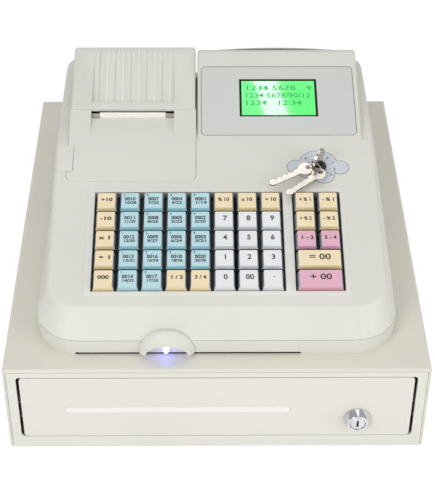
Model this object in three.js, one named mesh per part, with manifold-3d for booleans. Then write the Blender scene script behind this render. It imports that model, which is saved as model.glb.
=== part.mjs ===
// An electronic cash register with a receipt printer, standing on a steel cash drawer.
// Millimetres, x to the right, y to the rear, z up, origin under the middle of the whole.
// The panel frame lies in the sloped top of the register: x to the right, v up the slope, w out of the panel.
import * as THREE from "three";
import { mergeVertices } from "three/addons/utils/BufferGeometryUtils.js";
import Module from "manifold-3d";

const wasm = await Module();
wasm.setup();

// Clearances
const gap = 0.3;
const slack = 1;
const overrun = 4;
const weldDistance = 0.0001;

// Case of the cash drawer
const foot = { height: 5, radius: 10, neckRadius: 8.5, edge: 1, inset: 26, dimpleRadius: 4,
  dimpleDepth: 1.5 };
const till = { width: 335, depth: 380, height: 85, sheet: 1.2, edgeRadius: 3.5, lip: 2.7 };
const front = { inset: 12.8, lift: 12.5, headroom: 8.6, fold: 9, sheet: 1.2, cornerRadius: 3, sideGap: 2.5,
  endGap: 0.8 };
const bar = { left: -120.5, right: 58.8, height: 6, lift: 42.6, raise: 2, lean: 1.2, round: 2.8, steps: 2 };
const runner = { drop: 1.5, width: 4.2, height: 14, lift: 26, wall: 1.2, wallTop: 48 };
const box = { inset: 16, short: 28, lift: 14, height: 55, sheet: 1.2 };
const tray = { height: 50, wall: 2, floor: 2.5, coinShare: 0.34, bills: 4, coins: 5, coinRound: 12 };
const clip = { width: 24, arm: 84, thick: 2, barrel: 3.5, pin: 1.8, pinLength: 3.4, drop: 24, setback: 9,
  lug: 3, pad: 9 };
const lock = { x: 112, lift: 31.8, radius: 10.85, faceRadius: 8.1, proud: 7, rim: 1.2, bodyRadius: 9,
  bodyLength: 21 };
const lockPlug = { radius: 6, length: 24, slotWidth: 1.6, slotHeight: 7, slotDepth: 8, sink: 0.4 };
const latch = { width: 46, depth: 16, height: 26, coilRadius: 8, coilLength: 30, hook: 5, hookWidth: 12,
  plate: 2 };

// Register housing
const shell = { width: 286, frontMargin: 28.1271, back: 145, wall: 2.5, seam: 14, seamGap: 0.5 };
const corner = { front: 36, back: 26, steps: 8 };
const rim = { front: 14.5, side: 9.5, back: 4, radius: 3, steps: 3 };
const panel = { slopeDeg: 15.66, rise: 80.84, crest: 3 };
const notch = { left: -111, right: 66, height: 2, depth: 6, wall: 1.5 };
const inlet = { x: 96, radius: 4.2, jackLeft: 60, jackWidth: 12, jackHeight: 8, lift: 4 };
const hump = { left: -15.3, right: 124.4, top: 99.8, roll: 8, edge: 2.5, steps: 4 };
const deck = { drop: 18.84, left: -125.4, behind: 4 };

// Keyboard
const pitch = 19.05;
const cap = { apart: 1.45, rowApart: 2.05, topIn: 1.95, topRowIn: 1, height: 9, skirt: 2.2, proud: 5,
  shift: 0.3 };
const capRound = { base: 1.6, top: 2.2, edge: 0.7, steps: 1 };
const stem = { size: 4, reach: 6.6, hole: 4.6, sink: 0.5 };
const bank = { centre: 1.085, rear: -63, columns: 8, rows: 5, blockSpace: 8.82, blockColumns: 2 };
const well = { left: 1.2, right: 1.3, front: 1.2, rear: 3.2, skirt: 7.3, wall: 1.6 };
const plate = { thick: 1.6, margin: 4 };

// Printer
const cover = { left: -124, right: -16.5, front: -38.3, back: 36.8, thick: 2.2, round: 6 };
const ledge = { width: 3.2, depth: 2.7, reach: 10 };
const slot = { left: -106.2, right: -35.3, front: 11, depth: 5, step: 5.5 };
const lid = { right: -17, behind: 14, roll: 8, wall: 2.2, hingeBehind: 7.5, hingeLift: 2.36, pin: 1.8,
  pinLength: 3.4, lug: 3, boss: 4 };
const ramp = { front: 45, rear: 100, depth: 4.5, ribs: 5, ribStart: 5.8, ribPitch: 13.7, ribHeight: 1.7,
  rearShare: 0.5 };
const release = { right: -119.2, front: -28.9, back: -1.8, thick: 2.2, skirt: 6, travel: 2 };
const tub = { wall: 1.6, below: 4.4, inset: 0.8, behind: 2.5, drop: 6.5, leg: 8 };
const roll = { behind: 3, drop: 13.34, radius: 23.5, width: 57, core: 6.5, cradle: 9, cradleInset: 4,
  cradleShare: 0.7 };
const platen = { y: 41.5, drop: 4.34, radius: 5, shaft: 2, overhang: 4.2, cheek: 2, cheekDepth: 14 };
const head = { depth: 7, height: 13, ribs: 4, ribDepth: 1, ribHeight: 1.2 };
const tear = { thick: 0.8, height: 2.7, teeth: 16, tooth: 1.1 };
const paper = { width: 56.4, thick: 0.35, lean: 2.7, rise: 4 };

// Operator display, customer display, lamp
const glass = { left: -12, right: 120, front: 9.3, back: 87.2, thick: 1.3, round: 4, sink: 0.15 };
const lcd = { left: 20.9, right: 88.2, front: 30.3, back: 73.1, sink: 0.6, body: 3, board: 6,
  boardThick: 1.6, ledge: 2 };
const mast = { width: 24, depth: 8, length: 54, x: 54.8, collar: 1.5, pivot: 4, pinRadius: 2, earWidth: 4 };
const face = { left: -2.2, right: 111.8, depth: 18, height: 30.2, arch: 2.8, wall: 2, gap: 1.8, foot: 4,
  window: 16.5 };
const hood = { x: -39.2, width: 44.6, rise: 24.6, wall: 4.4, foot: 3.4, footReach: 9.5 };
const lamp = { x: -39.7, rise: 7, radius: 2.5, flange: 3, proud: 6, round: 0.8, tail: 6 };

// Mode lock and keys
const mode = { x: 85.2, v: -25.5, radius: 6, head: 6.75, headProud: 2.5, barrel: 4.5, depth: 16, tip: 1 };
const modeKey = { turnDeg: 58, thick: 1.8, blade: 7, bladeDepth: 10, bow: 9, bowCentre: 12.2, neck: 3.5 };
const eye = { out: 6.2, w: 12, radius: 1.6 };
const ring = { radius: 5.5, wire: 0.7, leanDeg: 55, swingDeg: 20, sides: 6, steps: 20 };
const spare = { thick: 1.4, bow: 6, bowOffset: 2.6, hole: 2.1, length: 37, blade: 5.4, notch: 1.6,
  notches: 4 };
const spareLeft = { side: 1, lift: 7.3, headingDeg: 208 };
const spareRight = { side: -1, lift: 5.5, headingDeg: 218 };

// Measures that follow from the sizes above
const caseBottom = foot.height;
const caseTop = caseBottom + till.height;
const caseFront = -till.depth / 2;
const caseBack = till.depth / 2;
const halfCase = till.width / 2;
const slope = THREE.MathUtils.degToRad(panel.slopeDeg);
const panelHeight = caseTop + panel.rise;
const seamHeight = caseTop + shell.seam;
const crestHeight = panelHeight + panel.crest * Math.tan(slope);
const deckHeight = panelHeight - deck.drop;
const platenZ = panelHeight - platen.drop;
const rollZ = panelHeight - roll.drop;
const rollY = platen.y + platen.radius + roll.behind + roll.radius;
const tubFloor = rollZ - roll.radius - tub.below - tub.wall;
const tubRear = rollY + roll.radius + tub.behind;
const lidRear = tubRear + lid.behind;
const hingeY = tubRear + lid.hingeBehind;
const hingeZ = panelHeight + lid.hingeLift;
const humpBack = hump.top + hump.roll * Math.sin(slope) + hump.roll;
const toPanel = new THREE.Matrix4().makeRotationX(slope).setPosition(0, 0, panelHeight);
const quarterTurn = Math.PI / 2;

// Key columns and rows are spread about the keyboard's middle, and the housing's front follows the front row
const capWidth = pitch - cap.apart;
const capLength = pitch - cap.rowApart;
const bankSpan = pitch * (bank.columns + bank.blockColumns - 1) + bank.blockSpace;
const keyX = (column) => bank.centre - bankSpan / 2 + pitch * column;
const keyV = (row) => bank.rear - pitch * row;
const blockX = (column) => keyX(bank.columns - 1) + bank.blockSpace + pitch * (column + 1);
const wellFront = keyV(bank.rows - 1) - capLength / 2 - well.front;
const wellRear = keyV(0) + capLength / 2 + well.rear;
const shellFront = wellFront * Math.cos(slope) - shell.frontMargin;

const planeHeight = (y) => panelHeight + y * Math.tan(slope);
const alongSlope = (y) => y / Math.cos(slope);
const range = (count) => Array.from({ length: count }, (unused, index) => index);

// Solids from geometries, and back
function solidOf(geometry, matrix = new THREE.Matrix4()) {
  const copy = geometry.clone().applyMatrix4(matrix);
  copy.deleteAttribute("normal");
  copy.deleteAttribute("uv");
  const welded = mergeVertices(copy, weldDistance);
  const mesh = new wasm.Mesh({
    numProp: 3,
    vertProperties: new Float32Array(welded.attributes.position.array),
    triVerts: new Uint32Array(welded.index.array),
  });
  return new wasm.Manifold(mesh);
}

function geometryOf(solid) {
  const mesh = solid.getMesh();
  const geometry = new THREE.BufferGeometry();
  geometry.setAttribute("position", new THREE.BufferAttribute(mesh.vertProperties, 3));
  geometry.setIndex(new THREE.BufferAttribute(mesh.triVerts, 1));
  geometry.computeVertexNormals();
  return geometry;
}

const join = (...solids) => solids.reduce((whole, part) => whole.add(part));
const cut = (solid, ...cutters) => cutters.reduce((rest, cutter) => rest.subtract(cutter), solid);

// Basic forms: each takes [low, high] pairs, and an optional matrix that places the form
function block([x0, x1], [y0, y1], [z0, z1], matrix) {
  const geometry = new THREE.BoxGeometry(x1 - x0, y1 - y0, z1 - z0);
  geometry.translate((x0 + x1) / 2, (y0 + y1) / 2, (z0 + z1) / 2);
  return solidOf(geometry, matrix);
}

function polygon(points) {
  return new THREE.Shape(points.map(([a, b]) => new THREE.Vector2(a, b)));
}

// Corner points of a rounded rectangle, the same count at each size
function roundedOutline([x0, x1], [y0, y1], radius, steps) {
  const centres = [
    [x1 - radius, y1 - radius], [x0 + radius, y1 - radius], [x0 + radius, y0 + radius],
    [x1 - radius, y0 + radius]];
  return centres.flatMap(([x, y], quarter) => range(steps + 1).map((i) => {
    const turn = quarterTurn * (quarter + i / steps);
    return [x + radius * Math.cos(turn), y + radius * Math.sin(turn)];
  }));
}

function roundedShape(spanX, spanY, radius, steps = 3) {
  return polygon(roundedOutline(spanX, spanY, radius, steps));
}

function extrude(shape, [low, high], curveSegments = 4) {
  const options = { depth: high - low, bevelEnabled: false, curveSegments };
  const geometry = new THREE.ExtrudeGeometry(shape, options);
  return geometry.translate(0, 0, low);
}

// A shape drawn in x and y stands along z; drawn in y and z it lies along x; drawn in x and z it lies along y
const alongZ = (shape, span, matrix, segments) => solidOf(extrude(shape, span, segments), matrix);
const yzToX = new THREE.Matrix4().makeBasis(
  new THREE.Vector3(0, 1, 0), new THREE.Vector3(0, 0, 1), new THREE.Vector3(1, 0, 0));
const alongX = (shape, span, segments) => solidOf(extrude(shape, span, segments), yzToX);
const xzToY = new THREE.Matrix4().makeRotationX(quarterTurn);
const alongY = (shape, [y0, y1], segments) => solidOf(extrude(shape, [-y1, -y0], segments), xzToY);

function roundBar(radius, [low, high], matrix, segments = 20) {
  const geometry = new THREE.CylinderGeometry(radius, radius, high - low, segments);
  geometry.rotateX(quarterTurn).translate(0, 0, (low + high) / 2);
  return solidOf(geometry, matrix);
}

// Places a bar that stands along z so that it lies along x or y through a point
const lyingAlongX = (y, z) => new THREE.Matrix4().makeRotationY(quarterTurn).setPosition(0, y, z);
const lyingAlongY = (x, z) => new THREE.Matrix4().makeRotationX(quarterTurn).setPosition(x, 0, z);

function turned(profile, matrix, segments = 24) {
  const geometry = new THREE.LatheGeometry(profile.map(([r, h]) => new THREE.Vector2(r, h)), segments);
  return solidOf(geometry.rotateX(quarterTurn), matrix);
}

// A skin over rings of points with equal counts; strips between the two halves of the end rings close it
function loft(rings) {
  const count = rings[0].length;
  const faces = [];
  const last = (rings.length - 1) * count;
  for (const row of range(rings.length - 1)) {
    for (const i of range(count)) {
      const a = row * count + i;
      const b = row * count + ((i + 1) % count);
      faces.push(a, b, b + count, a, b + count, a + count);
    }
  }
  for (const i of range(count / 2 - 1)) {
    const across = count - 1 - i;
    faces.push(i, across, across - 1, i, across - 1, i + 1);
    faces.push(last + i, last + i + 1, last + across - 1, last + i, last + across - 1, last + across);
  }
  return closedGeometry(rings.flat(), faces);
}

function closedGeometry(points, faces) {
  const volume = faces.reduce((sum, unused, i) => {
    if (i % 3) return sum;
    const [a, b, c] = [points[faces[i]], points[faces[i + 1]], points[faces[i + 2]]];
    return sum + a.dot(new THREE.Vector3().crossVectors(b, c));
  }, 0);
  const geometry = new THREE.BufferGeometry();
  geometry.setFromPoints(points);
  geometry.setIndex(volume < 0 ? faces.reverse() : faces);
  return geometry;
}

// Register housing: walls stand up to the seam, lean in above it and turn over a soft edge onto the top,
// which slopes up to a crest and runs level behind it
function easeBetween(start, end, share) {
  return start + (end - start) * THREE.MathUtils.smoothstep(share, 0, 1);
}

function rimStations(inset) {
  const half = shell.width / 2 - inset;
  const [low, high] = [shellFront + inset, shell.back - inset];
  const [frontRadius, backRadius] = [corner.front - inset, corner.back - inset];
  const stations = [];
  for (const i of range(corner.steps + 1)) {
    const share = i / corner.steps;
    const [s, c] = [Math.sin(quarterTurn * share), Math.cos(quarterTurn * share)];
    const leanIn = easeBetween(rim.front, rim.side, share);
    stations.push({ x: half - frontRadius * (1 - s), y: low + frontRadius * (1 - c), nx: -s, ny: c, leanIn });
  }
  stations.push({ x: half, y: panel.crest, nx: -1, ny: 0, leanIn: rim.side });
  for (const i of range(corner.steps + 1)) {
    const share = i / corner.steps;
    const [s, c] = [Math.sin(quarterTurn * share), Math.cos(quarterTurn * share)];
    const leanIn = easeBetween(rim.side, rim.back, share);
    stations.push({ x: half - backRadius * (1 - c), y: high - backRadius * (1 - s), nx: -c, ny: -s, leanIn });
  }
  return stations;
}

function topHeight(y, inset) {
  if (y < panel.crest) return planeHeight(y) - inset / Math.cos(slope);
  return crestHeight - inset;
}

// One side of a ring runs up the wall, along the leaning face and round an arc that touches face and top
function rimRing({ x, y, nx, ny, leanIn }, inset, floor) {
  const edgeHeight = topHeight(y + ny * leanIn, inset);
  const climb = y < panel.crest ? Math.atan(Math.tan(slope) * ny) : 0;
  const tilt = Math.atan(leanIn / (edgeHeight - seamHeight));
  const sweep = quarterTurn - tilt - climb;
  const radius = rim.radius - inset;
  const reach = radius * Math.tan(sweep / 2);
  const inward = leanIn - reach * Math.sin(tilt) + radius * Math.cos(tilt);
  const centre = edgeHeight - reach * Math.cos(tilt) - radius * Math.sin(tilt);
  const right = [new THREE.Vector3(x, y, floor), new THREE.Vector3(x, y, seamHeight)];
  for (const i of range(rim.steps + 1)) {
    const turn = tilt + (sweep * i) / rim.steps;
    const along = inward - radius * Math.cos(turn);
    right.push(new THREE.Vector3(x + nx * along, y + ny * along, centre + radius * Math.sin(turn)));
  }
  const left = right.map((point) => new THREE.Vector3(-point.x, point.y, point.z)).reverse();
  return [...right, ...left];
}

function housingBlank(inset, floor) {
  return solidOf(loft(rimStations(inset).map((station) => rimRing(station, inset, floor))));
}

// A block whose top carries the panel's slope on, rolls over at its rear and has softened side edges
function slopedBlock([left, right], start, top, roller, inset, floor, softLeft, softRight) {
  const ring = (x, sunk) => {
    const radius = roller - sunk;
    const centreY = top + roller * Math.sin(slope);
    const centreZ = planeHeight(top) - roller * Math.cos(slope);
    const points = [[start, floor], [start, planeHeight(start) - sunk / Math.cos(slope)]];
    for (const i of range(hump.steps + 1)) {
      const turn = -slope + ((quarterTurn + slope) * i) / hump.steps;
      points.push([centreY + radius * Math.sin(turn), centreZ + radius * Math.cos(turn)]);
    }
    points.push([centreY + radius, floor]);
    return points.map(([y, z]) => new THREE.Vector3(x, y, z));
  };
  const softened = (end, sign) => range(hump.steps + 1).map((i) => {
    const turn = (quarterTurn * i) / hump.steps;
    const sunk = inset + hump.edge * (1 - Math.cos(turn));
    return ring(end - sign * hump.edge * (1 - Math.sin(turn)), sunk);
  });
  const leftRings = softLeft ? softened(left, -1).reverse() : [ring(left, inset)];
  const rightRings = softRight ? softened(right, 1) : [ring(right, inset)];
  return solidOf(loft([...leftRings, ...rightRings]));
}

const humpOuter = slopedBlock(
  [hump.left, hump.right], panel.crest, hump.top, hump.roll, 0, deckHeight - shell.wall, true, true);
const humpInner = slopedBlock(
  [hump.left + shell.wall, hump.right - shell.wall], panel.crest + shell.wall, hump.top, hump.roll,
  shell.wall, deckHeight - overrun, false, false);

// Low deck between the rear wings, stepped in plan round the back of the display block and open to the rear
function deckCut(grow) {
  const [left, step, right] = [deck.left - grow, hump.left + grow, hump.right + grow];
  const [start, humpRear, rear] = [tubRear + deck.behind - grow, humpBack - grow, shell.back + overrun];
  const plan = polygon([[left, start], [step, start], [step, humpRear], [right, humpRear],
    [right, rear], [left, rear]]);
  return alongZ(plan, [deckHeight - grow, caseTop + till.depth]);
}

const outerBody = cut(join(housingBlank(0, caseTop), humpOuter), deckCut(0));
const innerBlank = join(housingBlank(shell.wall, caseTop + shell.wall), humpInner);
const innerBody = cut(innerBlank, deckCut(shell.wall + gap));
const hollowBody = cut(outerBody, innerBody);
const allX = [-shell.width / 2 - overrun, shell.width / 2 + overrun];
const allY = [shellFront - overrun, shell.back + overrun];
const deep = [caseFront, caseBack];

function lowerHousing() {
  const body = cut(hollowBody, block(allX, allY, [seamHeight - shell.seamGap / 2, caseTop + till.depth]));
  const notchX = [notch.left, notch.right];
  const notchBack = shellFront + notch.depth;
  const notchTop = caseTop + notch.height;
  const notchLining = block(
    [notchX[0] - notch.wall, notchX[1] + notch.wall], [shellFront + shell.wall / 2, notchBack + notch.wall],
    [caseTop, notchTop + notch.wall]);
  const frontNotch = block(notchX, [shellFront - overrun, notchBack], [caseTop - overrun, notchTop]);
  const rearWall = [shell.back - shell.wall - overrun, shell.back + overrun];
  const inletZ = caseTop + inlet.lift + inlet.radius;
  const inletHole = roundBar(inlet.radius, [-rearWall[1], -rearWall[0]], lyingAlongY(inlet.x, inletZ));
  const jackZ = caseTop + inlet.lift;
  const jack = block([inlet.jackLeft, inlet.jackLeft + inlet.jackWidth], rearWall,
    [jackZ, jackZ + inlet.jackHeight]);
  return cut(join(body, notchLining), frontNotch, inletHole, jack, lampHole());
}

// Key places in the panel frame: x, v and the cap's width in key pitches
const keyPlaces = [];
const pinkRows = [3, 5];
for (const row of range(bank.rows)) {
  for (const column of range(bank.columns)) {
    const inPad = column > bank.columns - 4 && row > 0;
    const key = { name: `key_r${row + 1}_c${column + 1}`, x: keyX(column), v: keyV(row), units: 1 };
    keyPlaces.push({ ...key, loose: inPad, finish: "capWhite" });
  }
  const isDouble = row > bank.rows - 3;
  for (const column of range(isDouble ? 1 : bank.blockColumns)) {
    const x = isDouble ? (blockX(0) + blockX(1)) / 2 : blockX(column);
    const name = isDouble ? `wide_key_r${row + 1}` : `side_key_r${row + 1}_c${column + 1}`;
    const finish = pinkRows.includes(row + 1) ? "capPink" : "capCream";
    keyPlaces.push({ name, x, v: keyV(row), units: isDouble ? 2 : 1, loose: true, finish });
  }
}
const wells = [
  [keyX(0) - capWidth / 2 - well.left, keyX(bank.columns - 1) + capWidth / 2 + well.right],
  [blockX(0) - capWidth / 2 - well.left, blockX(bank.blockColumns - 1) + capWidth / 2 + well.right],
];

function withWells(housing) {
  const wellV = [wellFront, wellRear];
  const grown = ([low, high]) => [low - well.wall, high + well.wall];
  const skirtSpan = [-well.skirt, -shell.wall / 2];
  const skirts = wells.map((span) => block(grown(span), grown(wellV), skirtSpan, toPanel));
  const holes = wells.map((span) => block(span, wellV, [-well.skirt - overrun, overrun], toPanel));
  return cut(join(housing, ...skirts), ...holes);
}

// The printer's front cover sits flush in a pocket with a ledge under its edge
const coverV = [alongSlope(cover.front), alongSlope(cover.back)];

function withPrinterBay(housing) {
  const pocketX = [cover.left - gap, cover.right + gap];
  const ledgeX = [pocketX[0] - shell.wall, pocketX[1] + shell.wall / 2];
  const ledgeV = [coverV[0] - gap - shell.wall, alongSlope(panel.crest)];
  const pocketDepth = cover.thick + gap;
  const slopedLedge = block(ledgeX, ledgeV, [-pocketDepth - ledge.depth, -shell.wall / 2], toPanel);
  const levelLedge = block(
    ledgeX, [0, panel.crest + ledge.reach],
    [crestHeight - pocketDepth - ledge.depth, crestHeight - shell.wall / 2]);
  const pocket = alongZ(
    roundedShape(pocketX, [coverV[0] - gap, coverV[1]], cover.round + gap), [-pocketDepth, overrun], toPanel);
  const openX = [cover.left + ledge.width, cover.right - ledge.width];
  const opening = block(openX, [cover.front + ledge.width, tubRear + tub.inset],
    [seamHeight + overrun, crestHeight + overrun]);
  const tabHole = block(
    [-shell.width / 2 - overrun, cover.left + ledge.width], [release.front - gap, release.back + gap],
    [-release.skirt - release.travel - gap, overrun], toPanel);
  return cut(join(housing, slopedLedge, levelLedge), pocket, opening, tabHole);
}

// Arms that reach rearwards from the level top and carry the lid's pins
function lidLugs() {
  const reach = lid.wall + gap;
  const lugs = [cover.left + reach, lid.right - reach - lid.lug].map((x) => {
    const span = [x, x + lid.lug];
    const arm = block(span, [tubRear + tub.inset, hingeY], [hingeZ - lid.boss, hingeZ + lid.boss]);
    return join(arm, roundBar(lid.boss, span, lyingAlongX(hingeY, hingeZ)));
  });
  const bore = roundBar(lid.pin + gap, [cover.left, lid.right], lyingAlongX(hingeY, hingeZ));
  return lugs.map((lug) => cut(lug, bore));
}

function upperHousing() {
  const top = cut(hollowBody, block(allX, allY, [0, seamHeight + shell.seamGap / 2]));
  const glassPocket = alongZ(
    roundedShape([glass.left - gap, glass.right + gap], [glass.front - gap, glass.back + gap],
    glass.round + gap),
    [-glass.thick - glass.sink - gap, overrun], toPanel);
  const lcdHole = block(
    [lcd.left + lcd.ledge - gap, lcd.right - lcd.ledge + gap],
    [lcd.front + lcd.ledge - gap, lcd.back - lcd.ledge + gap],
    [-overrun - shell.wall, 0], toPanel);
  const lockHole = roundBar(mode.radius + gap, [-overrun, overrun], panelAt(mode.x, mode.v));
  const mastHole = block(
    [mast.x - mast.width / 2 - gap, mast.x + mast.width / 2 + gap],
    [mastY - mast.depth / 2 - gap, mastY + mast.depth / 2 + gap],
    [deckHeight - overrun, deckHeight + overrun]);
  const opened = cut(withPrinterBay(withWells(top)), glassPocket, lcdHole, lockHole, mastHole);
  return join(opened, ...lidLugs());
}

const panelAt = (x, v, turn = 0) => toPanel.clone().multiply(
  new THREE.Matrix4().makeRotationZ(turn).setPosition(x, v, 0));

// Key caps: a sloped skirt that rolls onto a smaller top, on a square stem
function capRing(width, length, height, radius, shift) {
  const outline = roundedOutline([-width / 2, width / 2], [shift - length / 2, shift + length / 2], radius,
    capRound.steps);
  return outline.map(([x, v]) => new THREE.Vector3(x, v, height));
}

function keyCap(units) {
  const extra = pitch * (units - 1);
  const low = cap.proud - cap.height;
  const width = capWidth + extra;
  const topWidth = width - cap.topIn * 2;
  const topLength = capLength - cap.topRowIn * 2;
  const rings = [
    capRing(width, capLength, low, capRound.base, 0),
    capRing(width, capLength, low + cap.skirt, capRound.base, 0),
    capRing(
      topWidth + capRound.edge * 2, topLength + capRound.edge * 2, cap.proud - capRound.edge, capRound.top,
      -cap.shift),
    capRing(topWidth, topLength, cap.proud, capRound.top, -cap.shift),
  ];
  return solidOf(loft(rings));
}

const stemPlaces = (units) => (units === 1 ? [0] : [-pitch / 2, pitch / 2]);

function stemBlock(x, v, size, [low, high]) {
  return block([x - size / 2, x + size / 2], [v - size / 2, v + size / 2], [low, high]);
}

function looseKey(units) {
  const low = cap.proud - cap.height;
  const stems = stemPlaces(units).map((x) => stemBlock(x, 0, stem.size, [low - stem.reach, low + stem.sink]));
  return join(keyCap(units), ...stems);
}

function keyboardPlate() {
  const top = -well.skirt - gap;
  const plateX = [wells[0][0] - plate.margin, wells[1][1] + plate.margin];
  const base = block(plateX, [wellFront - plate.margin, wellRear + plate.margin], [top - plate.thick, top]);
  const low = cap.proud - cap.height;
  const holes = [];
  const fixed = [];
  for (const { x, v, units, loose } of keyPlaces) {
    for (const offset of stemPlaces(units)) {
      const holeSpan = [top - plate.thick - overrun, top + overrun];
      if (loose) holes.push(stemBlock(x + offset, v, stem.hole, holeSpan));
      else fixed.push(stemBlock(x + offset, v, stem.size, [top - stem.sink, low + stem.sink]));
    }
    if (!loose) fixed.push(keyCap(units).translate([x, v, 0]));
  }
  return join(cut(base, ...holes), ...fixed);
}

// Case of the drawer
function caseCover() {
  const span = [-halfCase, halfCase];
  const grow = till.edgeRadius;
  const below = [caseBottom - grow * 2, caseTop];
  const fromFront = alongY(roundedShape(span, below, till.edgeRadius), deep);
  const fromSide = alongX(roundedShape(deep, below, till.edgeRadius), span);
  const fromTop = alongZ(roundedShape(span, [caseFront, caseBack + grow * 2], till.edgeRadius),
    [caseBottom, caseTop]);
  const outer = fromFront.intersect(fromSide).intersect(fromTop);
  const inside = [-halfCase + till.sheet, halfCase - till.sheet];
  const cavity = block(inside, [caseFront + till.sheet, caseBack + overrun],
    [caseBottom - overrun, caseTop - till.sheet]);
  const mouth = block(
    [-halfCase + till.lip, halfCase - till.lip], [caseFront - overrun, caseFront + overrun],
    [caseBottom - overrun, caseTop - till.lip]);
  return cut(outer, cavity, mouth);
}

const frontHalf = halfCase - front.inset;
const frontBottom = caseBottom + front.lift;
const frontTop = caseTop - front.headroom;
const boxFront = caseFront + front.sheet + gap;
const boxHalf = halfCase - box.inset;
const boxBack = boxFront + till.depth - box.short;

function caseChassis() {
  const half = halfCase - till.sheet - gap;
  const faceY = caseFront + gap / 2;
  const bottom = block([-half, half], [caseFront + till.sheet + gap, caseBack - gap],
    [caseBottom, caseBottom + till.sheet]);
  const frameHalf = halfCase - till.lip - gap;
  const frame = block([-frameHalf, frameHalf], [faceY, faceY + till.sheet * 2],
    [caseBottom, caseTop - till.lip - gap]);
  const mouthHalf = frontHalf + front.sideGap;
  const mouth = alongY(
    roundedShape([-mouthHalf, mouthHalf], [frontBottom - front.endGap, frontTop + front.endGap],
    front.cornerRadius),
    [faceY - overrun, faceY + overrun]);
  const rear = block([-half, half], [caseBack - gap - till.sheet, caseBack - gap],
    [caseBottom, caseTop - till.sheet - gap]);
  const cableHole = roundBar(inlet.radius * 2, [-caseBack - overrun, overrun - caseBack],
    lyingAlongY(0, caseTop - till.height / 2));
  const wallInner = half - runner.wall;
  const railIn = boxHalf + gap + slack;
  const railLow = caseBottom + runner.lift - gap;
  const railHigh = railLow + runner.height + gap * 2;
  const length = [caseFront + till.sheet + gap, caseBack - gap];
  const railLength = [caseFront + front.fold + slack, caseBack - gap];
  const side = (sign) => {
    const spanOf = (a, b) => (sign > 0 ? [a, b] : [-b, -a]);
    const wall = block(spanOf(wallInner, half), length, [caseBottom, caseBottom + runner.wallTop]);
    const lower = block(spanOf(railIn, half), railLength, [railLow - runner.drop, railLow]);
    const upper = block(spanOf(railIn, half), railLength, [railHigh, railHigh + runner.drop]);
    return join(wall, lower, upper);
  };
  return cut(join(bottom, frame, rear, side(1), side(-1)), mouth, cableHole);
}

function rubberFoot() {
  return turned([
    [0, foot.dimpleDepth], [foot.dimpleRadius, foot.dimpleDepth], [foot.dimpleRadius, 0],
    [foot.neckRadius, 0],
    [foot.radius, foot.edge], [foot.radius, foot.height], [0, foot.height]]);
}

function drawerFront() {
  const span = [-frontHalf, frontHalf];
  const heights = [frontBottom, frontTop];
  const outer = alongY(roundedShape(span, heights, front.cornerRadius), [caseFront, caseFront + front.fold]);
  const inner = block(
    [span[0] + front.sheet, span[1] - front.sheet],
    [caseFront + front.sheet, caseFront + front.fold + overrun],
    [heights[0] + front.sheet, heights[1] - front.sheet]);
  const middle = caseBottom + bar.lift;
  const barRing = (y, shrink) => roundedOutline(
    [bar.left + shrink, bar.right - shrink],
    [middle - bar.height / 2 + shrink, middle + bar.height / 2 - shrink],
    bar.round - shrink, bar.steps).map(([x, z]) => new THREE.Vector3(x, y, z));
  const pressed = solidOf(loft([barRing(caseFront + front.sheet / 2, 0), barRing(caseFront, 0),
    barRing(caseFront - bar.raise, bar.lean)]));
  const hole = roundBar(lock.bodyRadius + gap, [-caseFront - overrun, overrun - caseFront],
    lyingAlongY(lock.x, caseBottom + lock.lift));
  return cut(join(cut(outer, inner), pressed), hole);
}

function drawerBox() {
  const lengths = [boxFront, boxBack];
  const heights = [caseBottom + box.lift, caseBottom + box.lift + box.height];
  const outer = block([-boxHalf, boxHalf], lengths, heights);
  const inner = block(
    [-boxHalf + box.sheet, boxHalf - box.sheet], [lengths[0] + box.sheet, lengths[1] - box.sheet],
    [heights[0] + box.sheet, heights[1] + overrun]);
  const railY = [caseFront + front.fold + gap, lengths[1]];
  const railZ = [caseBottom + runner.lift, caseBottom + runner.lift + runner.height];
  const rails = [-1, 1].map((sign) => {
    const [a, b] = [sign * (boxHalf - box.sheet / 2), sign * (boxHalf + runner.width)];
    return block([Math.min(a, b), Math.max(a, b)], railY, railZ);
  });
  const hole = roundBar(lock.bodyRadius + gap, [-caseFront - overrun * 2, overrun - caseFront],
    lyingAlongY(lock.x, caseBottom + lock.lift));
  return cut(join(cut(outer, inner), ...rails), hole);
}

// Tray: bill places behind, coin places with round floors in front
const trayHalf = boxHalf - box.sheet - gap;
const trayFront = caseFront + lock.bodyLength + tray.wall * 2;
const trayBottom = caseBottom + box.lift + box.sheet + gap;
const trayTop = trayBottom + tray.height;
const trayBack = boxBack - box.sheet - gap;
const coinBack = trayFront + (trayBack - trayFront) * tray.coinShare;
const cells = (count) => range(count).map((i) => {
  const inner = [-trayHalf + tray.wall, trayHalf - tray.wall];
  const step = (inner[1] - inner[0] + tray.wall) / count;
  return [inner[0] + step * i, inner[0] + step * (i + 1) - tray.wall];
});
const clipAxis = { y: trayBack - tray.wall - clip.setback, z: trayTop - clip.barrel - gap };

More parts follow.
